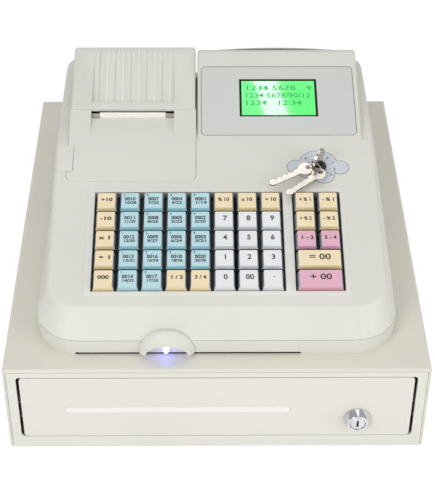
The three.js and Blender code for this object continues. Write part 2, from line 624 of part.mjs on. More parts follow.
function cashTray() {
  const outer = block([-trayHalf, trayHalf], [trayFront, trayBack], [trayBottom, trayTop]);
  const floor = trayBottom + tray.floor;
  const billY = [coinBack + tray.wall, trayBack - tray.wall];
  const bills = cells(tray.bills).map((span) => block(span, billY, [floor, trayTop + overrun]));
  const coins = cells(tray.coins).map((span) => {
    const [y0, y1] = [trayFront + tray.wall, coinBack];
    const [bend, third] = [tray.coinRound, tray.coinRound / 3];
    const scoop = polygon([
      [y0, trayTop + overrun], [y0, floor + bend], [y0 + third, floor + third], [y0 + bend, floor],
      [y1 - bend, floor], [y1 - third, floor + third], [y1, floor + bend], [y1, trayTop + overrun]]);
    return alongX(scoop, span);
  });
  const lugs = cells(tray.bills).flatMap(([x0, x1]) => {
    const middle = (x0 + x1) / 2;
    const inner = clip.width / 2 + gap;
    return [-inner - clip.lug, inner].map((offset) => block(
      [middle + offset, middle + offset + clip.lug], [clipAxis.y - clip.barrel, trayBack - tray.wall / 2],
      [clipAxis.z - clip.barrel, trayTop]));
  });
  const pinBore = roundBar(clip.pin + gap, [-trayHalf + tray.wall / 2, trayHalf - tray.wall / 2],
    lyingAlongX(clipAxis.y, clipAxis.z), 10);
  return cut(join(cut(outer, ...bills, ...coins), ...lugs.map((lug) => cut(lug, pinBore))));
}

function billClip([x0, x1]) {
  const middle = (x0 + x1) / 2;
  const span = [middle - clip.width / 2, middle + clip.width / 2];
  const drop = THREE.MathUtils.degToRad(clip.drop);
  const axis = clipAxis;
  const reach = [axis.y - clip.arm * Math.cos(drop), axis.z - clip.arm * Math.sin(drop)];
  const thick = clip.thick / Math.cos(drop);
  const padEnd = reach[0] - clip.pad;
  const arm = alongX(polygon([
    [axis.y, axis.z - thick / 2], [axis.y, axis.z + thick / 2], [reach[0], reach[1] + thick / 2],
    [padEnd, reach[1] + thick / 2], [padEnd, reach[1] - thick / 2], [reach[0], reach[1] - thick / 2]]), span);
  const barrel = roundBar(clip.barrel, span, lyingAlongX(axis.y, axis.z), 12);
  const pinSpan = [span[0] - clip.pinLength, span[1] + clip.pinLength];
  const window = block(
    [span[0] + clip.width / 4, span[1] - clip.width / 4], [reach[0] + clip.pad, axis.y - clip.barrel * 3],
    [trayBottom, trayTop]);
  return join(cut(arm, window), barrel, roundBar(clip.pin, pinSpan, lyingAlongX(axis.y, axis.z), 10));
}

function drawerLockBody() {
  const back = caseFront;
  const profile = [
    [lockPlug.radius + gap, back - lock.proud], [lock.faceRadius, back - lock.proud],
    [lock.radius, back - lock.rim],
    [lock.radius, back - gap], [lock.bodyRadius, back - gap], [lock.bodyRadius, back + lock.bodyLength],
    [lockPlug.radius + gap, back + lock.bodyLength], [lockPlug.radius + gap, back - lock.proud]];
  return turned(profile.map(([r, h]) => [r, -h]).reverse(), lyingAlongY(lock.x, caseBottom + lock.lift), 32);
}

function drawerLockPlug() {
  const faceY = caseFront - lock.proud + lockPlug.sink;
  const z = caseBottom + lock.lift;
  const plug = roundBar(lockPlug.radius, [-faceY - lockPlug.length, -faceY], lyingAlongY(lock.x, z), 24);
  const slit = block(
    [lock.x - lockPlug.slotWidth / 2, lock.x + lockPlug.slotWidth / 2],
    [faceY - overrun, faceY + lockPlug.slotDepth],
    [z - lockPlug.slotHeight / 2, z + lockPlug.slotHeight / 2]);
  return cut(plug, slit);
}

// Latch that holds the closed drawer: a coil on a plate with a hook over the drawer box's rear wall
function drawerLatch() {
  const backY = caseBack - gap * 2 - till.sheet;
  const baseZ = caseBottom + till.sheet;
  const frontY = boxBack + slack;
  const base = block([-latch.width / 2, latch.width / 2], [backY - latch.depth, backY],
    [baseZ, baseZ + latch.plate]);
  const upright = block([-latch.width / 2, latch.width / 2], [backY - latch.plate, backY],
    [baseZ, baseZ + latch.height]);
  const coilZ = baseZ + latch.plate / 2 + latch.coilRadius;
  const coil = roundBar(latch.coilRadius, [-latch.coilLength / 2, latch.coilLength / 2],
    lyingAlongX(backY - latch.coilRadius, coilZ), 16);
  const hook = block(
    [-latch.hookWidth / 2, latch.hookWidth / 2], [frontY, backY],
    [coilZ + latch.coilRadius / 2, coilZ + latch.coilRadius + latch.hook]);
  return join(base, upright, coil, hook);
}

// Printer: front cover with a sloping recess that ends at the paper slot
function slotRamp(offset) {
  const back = coverV[1] + overrun;
  return polygon([
    [slot.front, offset], [coverV[1] - slot.step, offset - slot.depth], [back, offset - slot.depth],
    [back, overrun + slot.depth], [slot.front, overrun + slot.depth]]);
}

const toPanelX = toPanel.clone().multiply(yzToX);
const panelAlongX = (shape, span) => solidOf(extrude(shape, span), toPanelX);

function printerCover() {
  const spanX = [cover.left, cover.right];
  const top = alongZ(roundedShape(spanX, [coverV[0], coverV[1] + cover.round], cover.round),
    [-cover.thick, 0], toPanel);
  const skirtBottom = crestHeight + gap;
  const skirtStart = panel.crest + (gap + cover.thick / 2) / Math.tan(slope);
  const skirtShape = polygon([
    [skirtStart, skirtBottom], [cover.back, skirtBottom],
    [cover.back, planeHeight(cover.back) - cover.thick / 2]]);
  const skirtSpans = [[spanX[0], spanX[0] + cover.thick], [spanX[1] - cover.thick, spanX[1]]];
  const skirts = skirtSpans.map((span) => alongX(skirtShape, span));
  const bossLow = -slot.depth - cover.thick;
  const bossShape = polygon([
    [slot.front - cover.thick, -cover.thick / 2], [coverV[1] - slot.step, bossLow], [coverV[1], bossLow],
    [coverV[1], -cover.thick / 2]]);
  const boss = panelAlongX(bossShape, [slot.left - cover.thick, slot.right + cover.thick]);
  const recess = panelAlongX(slotRamp(0), [slot.left, slot.right]);
  const paperWay = block([slot.left, slot.right], [coverV[1] - slot.step, coverV[1] + overrun],
    [-slot.depth * 2, overrun], toPanel);
  const tabNotch = block([cover.left - overrun, release.right + gap],
    [release.front - gap, release.back + gap], [-overrun, overrun], toPanel);
  const endCut = block([-halfCase, 0], [cover.back, cover.back + cover.round * 2],
    [caseTop, caseTop + till.depth]);
  return cut(join(top, ...skirts, boss), recess, paperWay, tabNotch, endCut);
}

// The release tab wraps over the edge of the housing
function coverRelease() {
  const region = block(
    [-shell.width / 2, release.right], [release.front, release.back], [-release.skirt, overrun], toPanel);
  return cut(housingBlank(0, caseTop).intersect(region), housingBlank(release.thick, caseTop));
}

// Corner triples of the faces of a three-sided bar
const prismFaces = [0, 2, 1, 3, 4, 5, 0, 1, 4, 0, 4, 3, 1, 2, 5, 1, 5, 4, 2, 0, 3, 2, 3, 5];

// Paper lid: a shell that rolls over at its rear, with a ribbed recess that is deepest at its front
function paperLid() {
  const span = [cover.left, lid.right];
  const start = cover.back + gap;
  const top = lidRear - lid.roll - lid.roll * Math.sin(slope);
  const floor = crestHeight + gap;
  const outer = slopedBlock(span, start, top, lid.roll, 0, floor, true, true);
  const inner = slopedBlock(
    [span[0] + lid.wall, span[1] - lid.wall], start - overrun, top, lid.roll, lid.wall, floor - overrun,
    false, false);
  const rampV = [alongSlope(ramp.front), alongSlope(ramp.rear)];
  const under = panelAlongX(polygon([
    [rampV[0] - lid.wall, -lid.wall / 2], [rampV[0] - lid.wall, -ramp.depth - lid.wall],
    [rampV[0], -ramp.depth - lid.wall],
    [rampV[1], -lid.wall / 2]]), [slot.left - lid.wall, slot.right + lid.wall]);
  const hollow = panelAlongX(polygon([
    [rampV[0], overrun], [rampV[0], -ramp.depth], [rampV[1], 0], [rampV[1], overrun]]),
    [slot.left, slot.right]);
  const rib = (x) => {
    const section = (v, ground, height) => [
      new THREE.Vector3(x - ramp.ribPitch / 4, v, ground - height / 2),
      new THREE.Vector3(x + ramp.ribPitch * 5 / 4, v, ground - height / 2),
      new THREE.Vector3(x + ramp.ribPitch / 2, v, ground + height)];
    const points = [
      ...section(rampV[0] - lid.wall / 2, -ramp.depth, ramp.ribHeight),
      ...section(rampV[1], 0, ramp.ribHeight * ramp.rearShare)];
    return solidOf(closedGeometry(points, prismFaces), toPanel);
  };
  const within = block(
    [slot.left, slot.right + lid.wall / 2], [rampV[0] - lid.wall / 2, rampV[1]],
    [-ramp.depth - lid.wall / 2, overrun], toPanel);
  const ribX = range(ramp.ribs).map((i) => slot.left + ramp.ribStart + ramp.ribPitch * i);
  const ribs = ribX.map((x) => rib(x).intersect(within));
  const pinSpans = [
    [span[0] + lid.wall / 2, span[0] + lid.wall + lid.pinLength],
    [span[1] - lid.wall - lid.pinLength, span[1] - lid.wall / 2]];
  const pins = pinSpans.map((pinSpan) => roundBar(lid.pin, pinSpan, lyingAlongX(hingeY, hingeZ), 14));
  return join(cut(join(cut(outer, inner), under), hollow), ...ribs, ...pins);
}

const tubX = [cover.left + ledge.width + tub.inset, cover.right - ledge.width - tub.inset];
const paperX = (slot.left + slot.right) / 2;
const rollSpan = [paperX - roll.width / 2, paperX + roll.width / 2];
const paperSpan = [paperX - paper.width / 2, paperX + paper.width / 2];

function tubProfile(inset, rise) {
  const low = cover.front + ledge.width + tub.inset + inset;
  const high = tubRear - inset;
  const crossing = panel.crest + (cover.thick + gap * 2) / Math.tan(slope);
  return polygon([
    [low, tubFloor + inset], [high, tubFloor + inset], [high, crestHeight + rise - gap],
    [crossing, crestHeight + rise - gap],
    [crossing, planeHeight(crossing) - tub.drop + rise], [low, planeHeight(low) - tub.drop + rise]]);
}

function printerFrame() {
  const outer = alongX(tubProfile(0, 0), tubX);
  const inner = alongX(tubProfile(tub.wall, overrun), [tubX[0] + tub.wall, tubX[1] - tub.wall]);
  const seat = lyingAlongX(rollY, rollZ);
  const cradleZ = rollZ - roll.radius + roll.cradle;
  const trough = roundBar(roll.radius + gap, [tubX[0], tubX[1]], seat, 32);
  const cradle = cut(block(
    [rollSpan[0] + roll.cradleInset, rollSpan[1] - roll.cradleInset],
    [rollY - roll.radius * roll.cradleShare, rollY + roll.radius * roll.cradleShare],
    [tubFloor, cradleZ]), trough);
  const shaftAt = lyingAlongX(platen.y, platenZ);
  const cheekSpans = [
    [rollSpan[0] - platen.overhang, rollSpan[0] - platen.overhang + platen.cheek],
    [rollSpan[1] + platen.overhang - platen.cheek, rollSpan[1] + platen.overhang]];
  const cheeks = cheekSpans.map((span) => block(
    span, [platen.y - platen.cheekDepth / 2, platen.y + platen.cheekDepth / 2],
    [tubFloor, platenZ + platen.shaft * 2]));
  const bore = roundBar(platen.shaft + gap, [tubX[0] + tub.wall, tubX[1] - tub.wall], shaftAt, 14);
  const legZ = [caseTop + shell.wall + gap, tubFloor + tub.wall / 2];
  const legY = [cover.front + tub.leg, tubRear - tub.leg * 2];
  const legs = [tubX[0], tubX[1] - tub.leg].flatMap(
    (x) => legY.map((y) => block([x, x + tub.leg], [y, y + tub.leg], legZ)));
  return join(cut(outer, inner), cradle, ...cheeks.map((cheek) => cut(cheek, bore)), ...legs);
}

function platenRoller() {
  const at = lyingAlongX(platen.y, platenZ);
  const shaftSpan = [rollSpan[0] - platen.overhang, rollSpan[1] + platen.overhang];
  return join(roundBar(platen.radius, rollSpan, at, 20), roundBar(platen.shaft, shaftSpan, at, 14));
}

function paperRoll() {
  const at = lyingAlongX(rollY, rollZ);
  const coreSpan = [paperSpan[0] - overrun, paperSpan[1] + overrun];
  return cut(roundBar(roll.radius, paperSpan, at, 32), roundBar(roll.core, coreSpan, at, 20));
}

function printHead() {
  const backY = platen.y - platen.radius - gap * 2 - paper.thick;
  const topZ = platenZ + head.height / 4;
  const body = block(rollSpan, [backY - head.depth, backY], [topZ - head.height, topZ]);
  const frontY = backY - head.depth;
  const grooves = range(head.ribs).map((i) => {
    const z = topZ - head.height + head.ribHeight * (2 * i + 1);
    return block(
      [rollSpan[0] - overrun, rollSpan[1] + overrun], [frontY - overrun, frontY + head.ribDepth],
      [z, z + head.ribHeight]);
  });
  const column = block(
    [rollSpan[0] + overrun, rollSpan[1] - overrun], [frontY + head.ribDepth, backY - head.ribDepth],
    [tubFloor + tub.wall + gap, topZ - head.height / 2]);
  return join(cut(body, ...grooves), column);
}

const tearY = platen.y - platen.radius - gap * 2 - paper.thick;
const tearZ = platenZ + head.height / 4 + gap;

function tearBar() {
  const span = [rollSpan[0], rollSpan[1]];
  const step = (span[1] - span[0]) / tear.teeth;
  const outline = [[span[0], tearZ], [span[1], tearZ], [span[1], tearZ + tear.height - tear.tooth]];
  for (const i of range(tear.teeth)) {
    outline.push([span[1] - step * (i + 0.5), tearZ + tear.height]);
    outline.push([span[1] - step * (i + 1), tearZ + tear.height - tear.tooth]);
  }
  return alongY(polygon(outline), [tearY - tear.thick, tearY]);
}

// The torn end stands up through the slot behind the ramp
function paperEnd() {
  const foot = coverV[1] - slot.step + gap;
  const head = foot + paper.lean;
  const low = -slot.depth - cover.thick;
  const high = -slot.depth + paper.rise;
  const sheet = polygon([[foot, low], [foot + paper.thick, low], [head + paper.thick, high], [head, high]]);
  return panelAlongX(sheet, paperSpan);
}

// Operator display
function displayWindow() {
  const blank = alongZ(
    roundedShape([glass.left, glass.right], [glass.front, glass.back], glass.round),
    [-glass.sink - glass.thick, -glass.sink], toPanel);
  return cut(blank, block([lcd.left, lcd.right], [lcd.front, lcd.back], [-overrun, overrun], toPanel));
}

function lcdModule() {
  const pocketFloor = -glass.thick - glass.sink - gap;
  const pane = block([lcd.left + gap, lcd.right - gap], [lcd.front + gap, lcd.back - gap],
    [pocketFloor + gap, -lcd.sink], toPanel);
  const neck = block(
    [lcd.left + lcd.ledge, lcd.right - lcd.ledge], [lcd.front + lcd.ledge, lcd.back - lcd.ledge],
    [-lcd.board, pocketFloor + gap * 2], toPanel);
  const board = block(
    [lcd.left - lcd.body, lcd.right + lcd.body], [lcd.front - lcd.body, lcd.back + lcd.body],
    [-lcd.board - lcd.boardThick, -lcd.board], toPanel);
  return join(pane, neck, board);
}

// Customer display: a head with an arched top that tilts on a mast behind the display block
const faceFront = humpBack + face.gap;
const mastY = faceFront + face.depth / 2;
const pivotZ = deckHeight + face.foot + mast.pivot;

function displayHead() {
  const middle = (face.left + face.right) / 2;
  const half = (face.right - face.left) / 2;
  const top = deckHeight + face.foot + face.height;
  const radius = (half * half + face.arch * face.arch) / (2 * face.arch);
  const spread = Math.asin(half / radius);
  const outline = new THREE.Shape();
  outline.moveTo(face.left, deckHeight + face.foot);
  outline.lineTo(face.right, deckHeight + face.foot);
  outline.absarc(middle, top - radius, radius, quarterTurn - spread, quarterTurn + spread);
  const body = alongY(outline, [faceFront, faceFront + face.depth], 10);
  const pocket = block(
    [face.left + face.wall * 3, face.right - face.wall * 3],
    [faceFront + face.depth - face.wall / 2, faceFront + face.depth + overrun],
    [top - face.arch - face.wall - face.window, top - face.arch - face.wall]);
  const earHalf = mast.width / 2 + gap;
  const notchBox = block(
    [mast.x - earHalf, mast.x + earHalf], [faceFront - overrun, faceFront + face.depth + overrun],
    [deckHeight, pivotZ + mast.depth / 2 + gap * 2]);
  const pin = roundBar(mast.pinRadius,
    [mast.x - earHalf - mast.earWidth / 2, mast.x + earHalf + mast.earWidth / 2],
    lyingAlongX(mastY, pivotZ), 14);
  return join(cut(body, pocket, notchBox), pin);
}

function displayMast() {
  const spanX = [mast.x - mast.width / 2, mast.x + mast.width / 2];
  const spanY = [mastY - mast.depth / 2, mastY + mast.depth / 2];
  const post = block(spanX, spanY, [deckHeight - mast.length, pivotZ]);
  const eyeBar = roundBar(mast.depth / 2, spanX, lyingAlongX(mastY, pivotZ), 16);
  const collar = block(
    [spanX[0] - mast.collar, spanX[1] + mast.collar], [spanY[0] - mast.collar, spanY[1] + mast.collar],
    [deckHeight + gap, deckHeight + gap + mast.collar]);
  const bore = roundBar(mast.pinRadius + gap, [spanX[0] - overrun, spanX[1] + overrun],
    lyingAlongX(mastY, pivotZ), 14);
  return cut(join(post, eyeBar, collar), bore);
}

// Light hood: half of a flattened dome over the lamp, open below
function lightHood() {
  const base = caseTop + hood.foot;
  const dome = (rx, ry, rz, segments) => {
    const ball = new THREE.SphereGeometry(1, segments, segments / 2).rotateX(quarterTurn);
    const sized = new THREE.Matrix4().makeScale(rx, ry, rz).setPosition(hood.x, shellFront + gap, base);
    return solidOf(ball, sized);
  };
  const rise = hood.rise - hood.foot;
  const outer = dome(hood.width / 2, hood.footReach + gap, rise, 24);
  const arch = dome(hood.width / 2 - hood.wall, (hood.footReach + gap) * 2, rise - hood.wall * 2, 16);
  const wallFace = housingBlank(0, caseTop).translate([0, -gap, 0]);
  const below = block([hood.x - hood.width, hood.x + hood.width], [caseFront - overrun, caseBack],
    [caseTop - hood.rise, base]);
  return cut(outer, arch, wallFace, below);
}

function lampHole() {
  return roundBar(lamp.radius + gap, [-shellFront - shell.wall - overrun, -shellFront + overrun],
    lyingAlongY(lamp.x, caseTop + lamp.rise));
}

function lampBody() {
  const faceY = -shellFront;
  const tail = faceY - shell.wall - gap;
  return turned([
    [0, tail - lamp.tail], [lamp.flange, tail - lamp.tail], [lamp.flange, tail], [lamp.radius, tail],
    [lamp.radius, faceY + lamp.proud - lamp.radius],
    [lamp.radius - lamp.round, faceY + lamp.proud - lamp.round],
    [0, faceY + lamp.proud]], lyingAlongY(lamp.x, caseTop + lamp.rise), 16);
}

// Mode lock, its key, and the ring with two spare keys
const keyTurn = THREE.MathUtils.degToRad(modeKey.turnDeg);

function modeLockBody() {
  const at = panelAt(mode.x, mode.v);
  const sleeve = roundBar(mode.radius, [-mode.depth, -gap], at, 20);
  return cut(sleeve, roundBar(mode.barrel + gap, [-mode.depth - overrun, overrun], at, 20));
}

function modeLockPlug() {
  const plug = turned([
    [0, -mode.depth], [mode.barrel, -mode.depth], [mode.barrel, gap], [mode.head, gap],
    [mode.head, mode.headProud - mode.tip / 2], [mode.head - mode.tip / 2, mode.headProud],
    [0, mode.headProud]],
  panelAt(mode.x, mode.v), 28);
  const slit = block(
    [-modeKey.blade / 2 - gap, modeKey.blade / 2 + gap], [-modeKey.thick / 2 - gap, modeKey.thick / 2 + gap],
    [-modeKey.bladeDepth - gap, overrun], panelAt(mode.x, mode.v, keyTurn));
  return cut(plug, slit);
}

function uprightKey() {
  const outline = new THREE.Shape();
  const half = modeKey.blade / 2;
  const start = Math.asin(half / modeKey.bow);
  outline.moveTo(-half, -modeKey.bladeDepth);
  outline.lineTo(half, -modeKey.bladeDepth);
  outline.lineTo(half, modeKey.neck);
  outline.absarc(0, modeKey.bowCentre, modeKey.bow, -quarterTurn + start, 3 * quarterTurn - start);
  const hole = new THREE.Path();
  hole.absarc(-eye.out, eye.w, eye.radius, 0, 4 * quarterTurn);
  outline.holes.push(hole);
  const geometry = extrude(outline, [-modeKey.thick / 2, modeKey.thick / 2], 8).rotateX(quarterTurn);
  return solidOf(geometry, panelAt(mode.x, mode.v, keyTurn));
}

// Directions in the panel: out runs from the lock along the key's flat, and the ring swings a little from it
const out = new THREE.Vector3(-Math.cos(keyTurn), -Math.sin(keyTurn), 0);
const swung = keyTurn + THREE.MathUtils.degToRad(ring.swingDeg);
const ringOut = new THREE.Vector3(-Math.cos(swung), -Math.sin(swung), 0);
const ringAcross = new THREE.Vector3(-Math.sin(swung), Math.cos(swung), 0);
const lean = THREE.MathUtils.degToRad(ring.leanDeg);
const ringCentre = new THREE.Vector3(mode.x, mode.v, eye.w - ring.radius * Math.sin(lean))
  .addScaledVector(out, eye.out).addScaledVector(ringOut, ring.radius * Math.cos(lean));

function keyRing() {
  const hang = ringOut.clone().multiplyScalar(Math.cos(lean)).setZ(-Math.sin(lean));
  const normal = new THREE.Vector3().crossVectors(ringAcross, hang);
  const inPanel = new THREE.Matrix4().makeBasis(ringAcross, hang, normal).setPosition(ringCentre);
  const place = toPanel.clone().multiply(inPanel);
  return solidOf(new THREE.TorusGeometry(ring.radius, ring.wire, ring.sides, ring.steps), place);
}

function spareKey({ side, lift, headingDeg }) {
  const middleW = lift + spare.thick / 2;
  const shift = (ringCentre.z - middleW) / Math.tan(lean);
  const eyeAt = ringCentre.clone().addScaledVector(ringAcross, side * ring.radius);
  eyeAt.addScaledVector(ringOut, shift);
  const heading = THREE.MathUtils.degToRad(headingDeg);
  const half = spare.blade / 2;
  const start = Math.asin(half / spare.bow);
  const outline = new THREE.Shape();
  outline.absarc(spare.bowOffset, 0, spare.bow, start, 4 * quarterTurn - start);
  const bladeStart = spare.bowOffset + spare.bow;
  const step = (spare.length - bladeStart - half) / (spare.notches + 1);
  for (const i of range(spare.notches)) {
    const x = bladeStart + step * (i + 0.5);
    outline.lineTo(x, -half);
    outline.lineTo(x + step / 2, -half + spare.notch);
    outline.lineTo(x + step, -half);
  }
  outline.lineTo(spare.length - half, -half);
  outline.lineTo(spare.length, 0);
  outline.lineTo(spare.length - half, half);
  const hole = new THREE.Path();
  hole.absarc(0, 0, spare.hole, 0, 4 * quarterTurn);
  outline.holes.push(hole);
  const place = panelAt(eyeAt.x, eyeAt.y, heading);
  return solidOf(extrude(outline, [lift, lift + spare.thick], 8), place);
}

// Finishes: colour, roughness and metalness of each material
const finishes = {
  paintedSteel: ["#dcd9cc", 0.5, 0.15],
  chassisSteel: ["#cfccc0", 0.5, 0.2],
  housing: ["#dedcd3", 0.6, 0],
  rubber: ["#2a2a2a", 0.9, 0],
  chrome: ["#c9cacc", 0.15, 1],
  steel: ["#a9abad", 0.35, 0.9],
  trayPlastic: ["#3a3b3d", 0.6, 0],
  capCream: ["#ead9b4", 0.4, 0],
  capWhite: ["#efefee", 0.4, 0],
  capPink: ["#dfa5b9", 0.4, 0],
  glass: ["#c7cac8", 0.25, 0],
  lcd: ["#5bf07f", 0.3, 0],
  dark: ["#202124", 0.5, 0],
  paper: ["#f4f2ec", 0.8, 0],
  lamp: ["#cfe0ff", 0.2, 0],
  blackPlug: ["#151515", 0.35, 0],
  nickel: ["#c5bfb6", 0.3, 0.9],
};

const assembly = new THREE.Group();

function place(parent, name, solid, finish) {
  const [color, roughness, metalness] = finishes[finish];
  const mesh = new THREE.Mesh(geometryOf(solid),
    new THREE.MeshStandardMaterial({ color, roughness, metalness }));
  mesh.name = name;
  parent.add(mesh);
  return mesh;
}

place(assembly, "case_cover", caseCover(), "paintedSteel");
place(assembly, "case_chassis", caseChassis(), "chassisSteel");
for (const [end, y] of [["front", caseFront + foot.inset], ["rear", caseBack - foot.inset]]) {
  for (const [side, x] of [["left", foot.inset - halfCase], ["right", halfCase - foot.inset]]) {
    place(assembly, `foot_${end}_${side}`, rubberFoot(), "rubber").position.set(x, y, 0);
  }
}
place(assembly, "drawer_latch", drawerLatch(), "steel");
place(assembly, "lower_housing", lowerHousing(), "housing");
place(assembly, "upper_housing", upperHousing(), "housing");
place(assembly, "light_hood", lightHood(), "housing");
place(assembly, "lamp", lampBody(), "lamp");
place(assembly, "display_window", displayWindow(), "glass");
place(assembly, "lcd_module", lcdModule(), "lcd");
place(assembly, "printer_frame", printerFrame(), "dark");
place(assembly, "print_head", printHead(), "steel");
place(assembly, "tear_bar", tearBar(), "steel");
place(assembly, "mode_lock_body", modeLockBody(), "steel");

// Drawer: slides out to the front
const drawer = new THREE.Group();
place(drawer, "drawer_box", drawerBox(), "chassisSteel");
place(drawer, "drawer_front", drawerFront(), "paintedSteel");
place(drawer, "cash_tray", cashTray(), "trayPlastic");
place(drawer, "drawer_lock_body", drawerLockBody(), "chrome");
place(drawer, "drawer_lock_plug", drawerLockPlug(), "chrome");
cells(tray.bills).forEach((span, i) => place(drawer, `bill_clip_${i + 1}`, billClip(span), "dark"));
assembly.add(drawer);

// Printer's moving pieces
const printer = new THREE.Group();
place(printer, "printer_cover", printerCover(), "housing");
place(printer, "paper_end", paperEnd(), "paper");
place(printer, "paper_lid", paperLid(), "housing");
place(printer, "cover_release", coverRelease(), "housing");
place(printer, "platen_roller", platenRoller(), "rubber");
place(printer, "paper_roll", paperRoll(), "paper");
assembly.add(printer);

// Customer display on its mast
const customerDisplay = new THREE.Group();
place(customerDisplay, "customer_display_mast", displayMast(), "housing");
place(customerDisplay, "customer_display_head", displayHead(), "housing");
assembly.add(customerDisplay);

// Mode key with the plug that it turns
const keys = new THREE.Group();
place(keys, "mode_lock_plug", modeLockPlug(), "blackPlug");
place(keys, "mode_key", uprightKey(), "nickel");
place(keys, "key_ring", keyRing(), "nickel");
place(keys, "spare_key_left", spareKey(spareLeft), "nickel");
place(keys, "spare_key_right", spareKey(spareRight), "nickel");
assembly.add(keys);

// Keyboard: the plate and its caps lie in the panel frame
const keyboard = new THREE.Group();
keyboard.rotation.x = slope;
keyboard.position.z = panelHeight;
place(keyboard, "keyboard_plate", keyboardPlate(), "capCream");
const capSolids = { 1: looseKey(1), 2: looseKey(2) };
for (const { name, x, v, units, loose, finish } of keyPlaces) {
  if (!loose) continue;
  place(keyboard, name, capSolids[units], finish).position.set(x, v, 0);
}
assembly.add(keyboard);

// The lock stands proud of the case, so the whole moves back by half of that
assembly.position.y = lock.proud / 2;

export default assembly;
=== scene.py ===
import math

import bpy
from mathutils import Matrix, Vector


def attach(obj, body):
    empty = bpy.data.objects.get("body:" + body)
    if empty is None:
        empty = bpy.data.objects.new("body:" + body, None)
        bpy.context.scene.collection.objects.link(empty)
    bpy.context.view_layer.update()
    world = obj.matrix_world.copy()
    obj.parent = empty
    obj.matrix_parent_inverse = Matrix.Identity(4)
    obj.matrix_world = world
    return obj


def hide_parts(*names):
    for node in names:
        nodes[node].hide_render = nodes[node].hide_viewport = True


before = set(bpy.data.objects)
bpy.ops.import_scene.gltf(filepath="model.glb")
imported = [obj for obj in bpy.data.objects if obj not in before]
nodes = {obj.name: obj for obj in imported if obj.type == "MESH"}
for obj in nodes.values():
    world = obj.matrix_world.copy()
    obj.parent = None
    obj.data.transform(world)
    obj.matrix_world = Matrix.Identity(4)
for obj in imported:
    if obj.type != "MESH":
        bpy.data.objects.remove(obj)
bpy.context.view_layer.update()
scene = bpy.context.scene
scene.view_settings.view_transform = "Standard"
mm = 0.001  # every size below is in millimetres

# the sloping panel: x across, v up the slope, w off its face
slope = {"degrees": 15.66, "y": 3.5, "rise": 170.84}
panelLean = Matrix.Rotation(math.radians(slope["degrees"]), 4, "X")
panelTurn = Matrix.Translation((0, slope["y"] * mm, slope["rise"] * mm)) @ panelLean


# selecting and placing
def clearSelection():
    if bpy.context.mode != "OBJECT":
        bpy.ops.object.mode_set(mode="OBJECT")
    bpy.ops.object.select_all(action="DESELECT")


def takeUp(piece):
    clearSelection()
    piece.select_set(True)
    bpy.context.view_layer.objects.active = piece


def editAll(piece, kind="FACE"):
    takeUp(piece)
    bpy.ops.object.mode_set(mode="EDIT")
    bpy.ops.mesh.select_mode(type=kind)
    bpy.ops.mesh.select_all(action="SELECT")


def pickFaces(piece, wanted):
    editAll(piece, "FACE")
    bpy.ops.mesh.select_all(action="DESELECT")
    bpy.ops.object.mode_set(mode="OBJECT")
    for face in piece.data.polygons:
        face.select = wanted(face.center / mm, face.normal)
    bpy.ops.object.mode_set(mode="EDIT")


def pickEdges(piece, wanted):
    editAll(piece, "EDGE")
    bpy.ops.mesh.select_all(action="DESELECT")
    bpy.ops.object.mode_set(mode="OBJECT")
    points = piece.data.vertices
    for edge in piece.data.edges:
        edge.select = wanted(points[edge.vertices[0]].co / mm, points[edge.vertices[1]].co / mm)
    bpy.ops.object.mode_set(mode="EDIT")


def doneEditing():
    bpy.ops.object.mode_set(mode="OBJECT")


def settle(piece, turn=None):
    takeUp(piece)
    if turn is not None:
        piece.matrix_world = turn @ piece.matrix_world
    bpy.ops.object.transform_apply(location=True, rotation=True, scale=True)
    return piece


def addBlock(name, low, high):
    middle = [(a + b) / 2 * mm for a, b in zip(low, high)]
    size = [(b - a) * mm for a, b in zip(low, high)]
    clearSelection()
    bpy.ops.mesh.primitive_cube_add(size=1, location=middle, scale=size)
    piece = bpy.context.object
    piece.name = name
    return settle(piece)


# a block from a piece's own dictionary of sizes
def addSlab(name, sizes):
    low = [sizes[side] for side in ("left", "front", "low")]
    high = [sizes[side] for side in ("right", "back", "high")]
    return addBlock(name, low, high)


def addDisc(name, x, y, low, high, across, up, sides=48):
    clearSelection()
    bpy.ops.mesh.primitive_cylinder_add(
        vertices=sides, radius=1, depth=1, location=(x * mm, y * mm, (low + high) / 2 * mm),
        scale=(across * mm, up * mm, (high - low) * mm))
    piece = bpy.context.object
    piece.name = name
    return settle(piece)


def extrudeTo(shift):
    bpy.ops.mesh.extrude_region_move(TRANSFORM_OT_translate={"value": [s * mm for s in shift]})


def scaleFaces(across, up, centre):
    bpy.ops.transform.resize(value=(across, up, 1), center_override=[c * mm for c in centre])


# a flat sheet that leans from the front low edge to the back high edge
def addLeaningSheet(name, sizes):
    rise, reach = sizes["high"] - sizes["low"], sizes["back"] - sizes["front"]
    pairs = (("left", "right"), ("front", "back"), ("low", "high"))
    middle = [(sizes[a] + sizes[b]) / 2 * mm for a, b in pairs]
    clearSelection()
    bpy.ops.mesh.primitive_plane_add(size=1, rotation=(math.atan2(rise, reach), 0, 0), location=middle)
    sheet = bpy.context.object
    sheet.name = name
    sheet.scale = ((sizes["right"] - sizes["left"]) * mm, math.hypot(rise, reach) * mm, 1)
    return settle(sheet)


def thicken(piece, thick, offset=0.0):
    takeUp(piece)
    wall = piece.modifiers.new("wall", "SOLIDIFY")
    wall.thickness = thick * mm
    wall.offset = offset
    bpy.ops.object.modifier_apply(modifier=wall.name)


def roundEdges(piece, width, segments=2, angle=30):
    takeUp(piece)
    rounding = piece.modifiers.new("rounding", "BEVEL")
    rounding.width = width * mm
    rounding.segments = segments
    rounding.limit_method = "ANGLE"
    rounding.angle_limit = math.radians(angle)
    bpy.ops.object.modifier_apply(modifier=rounding.name)


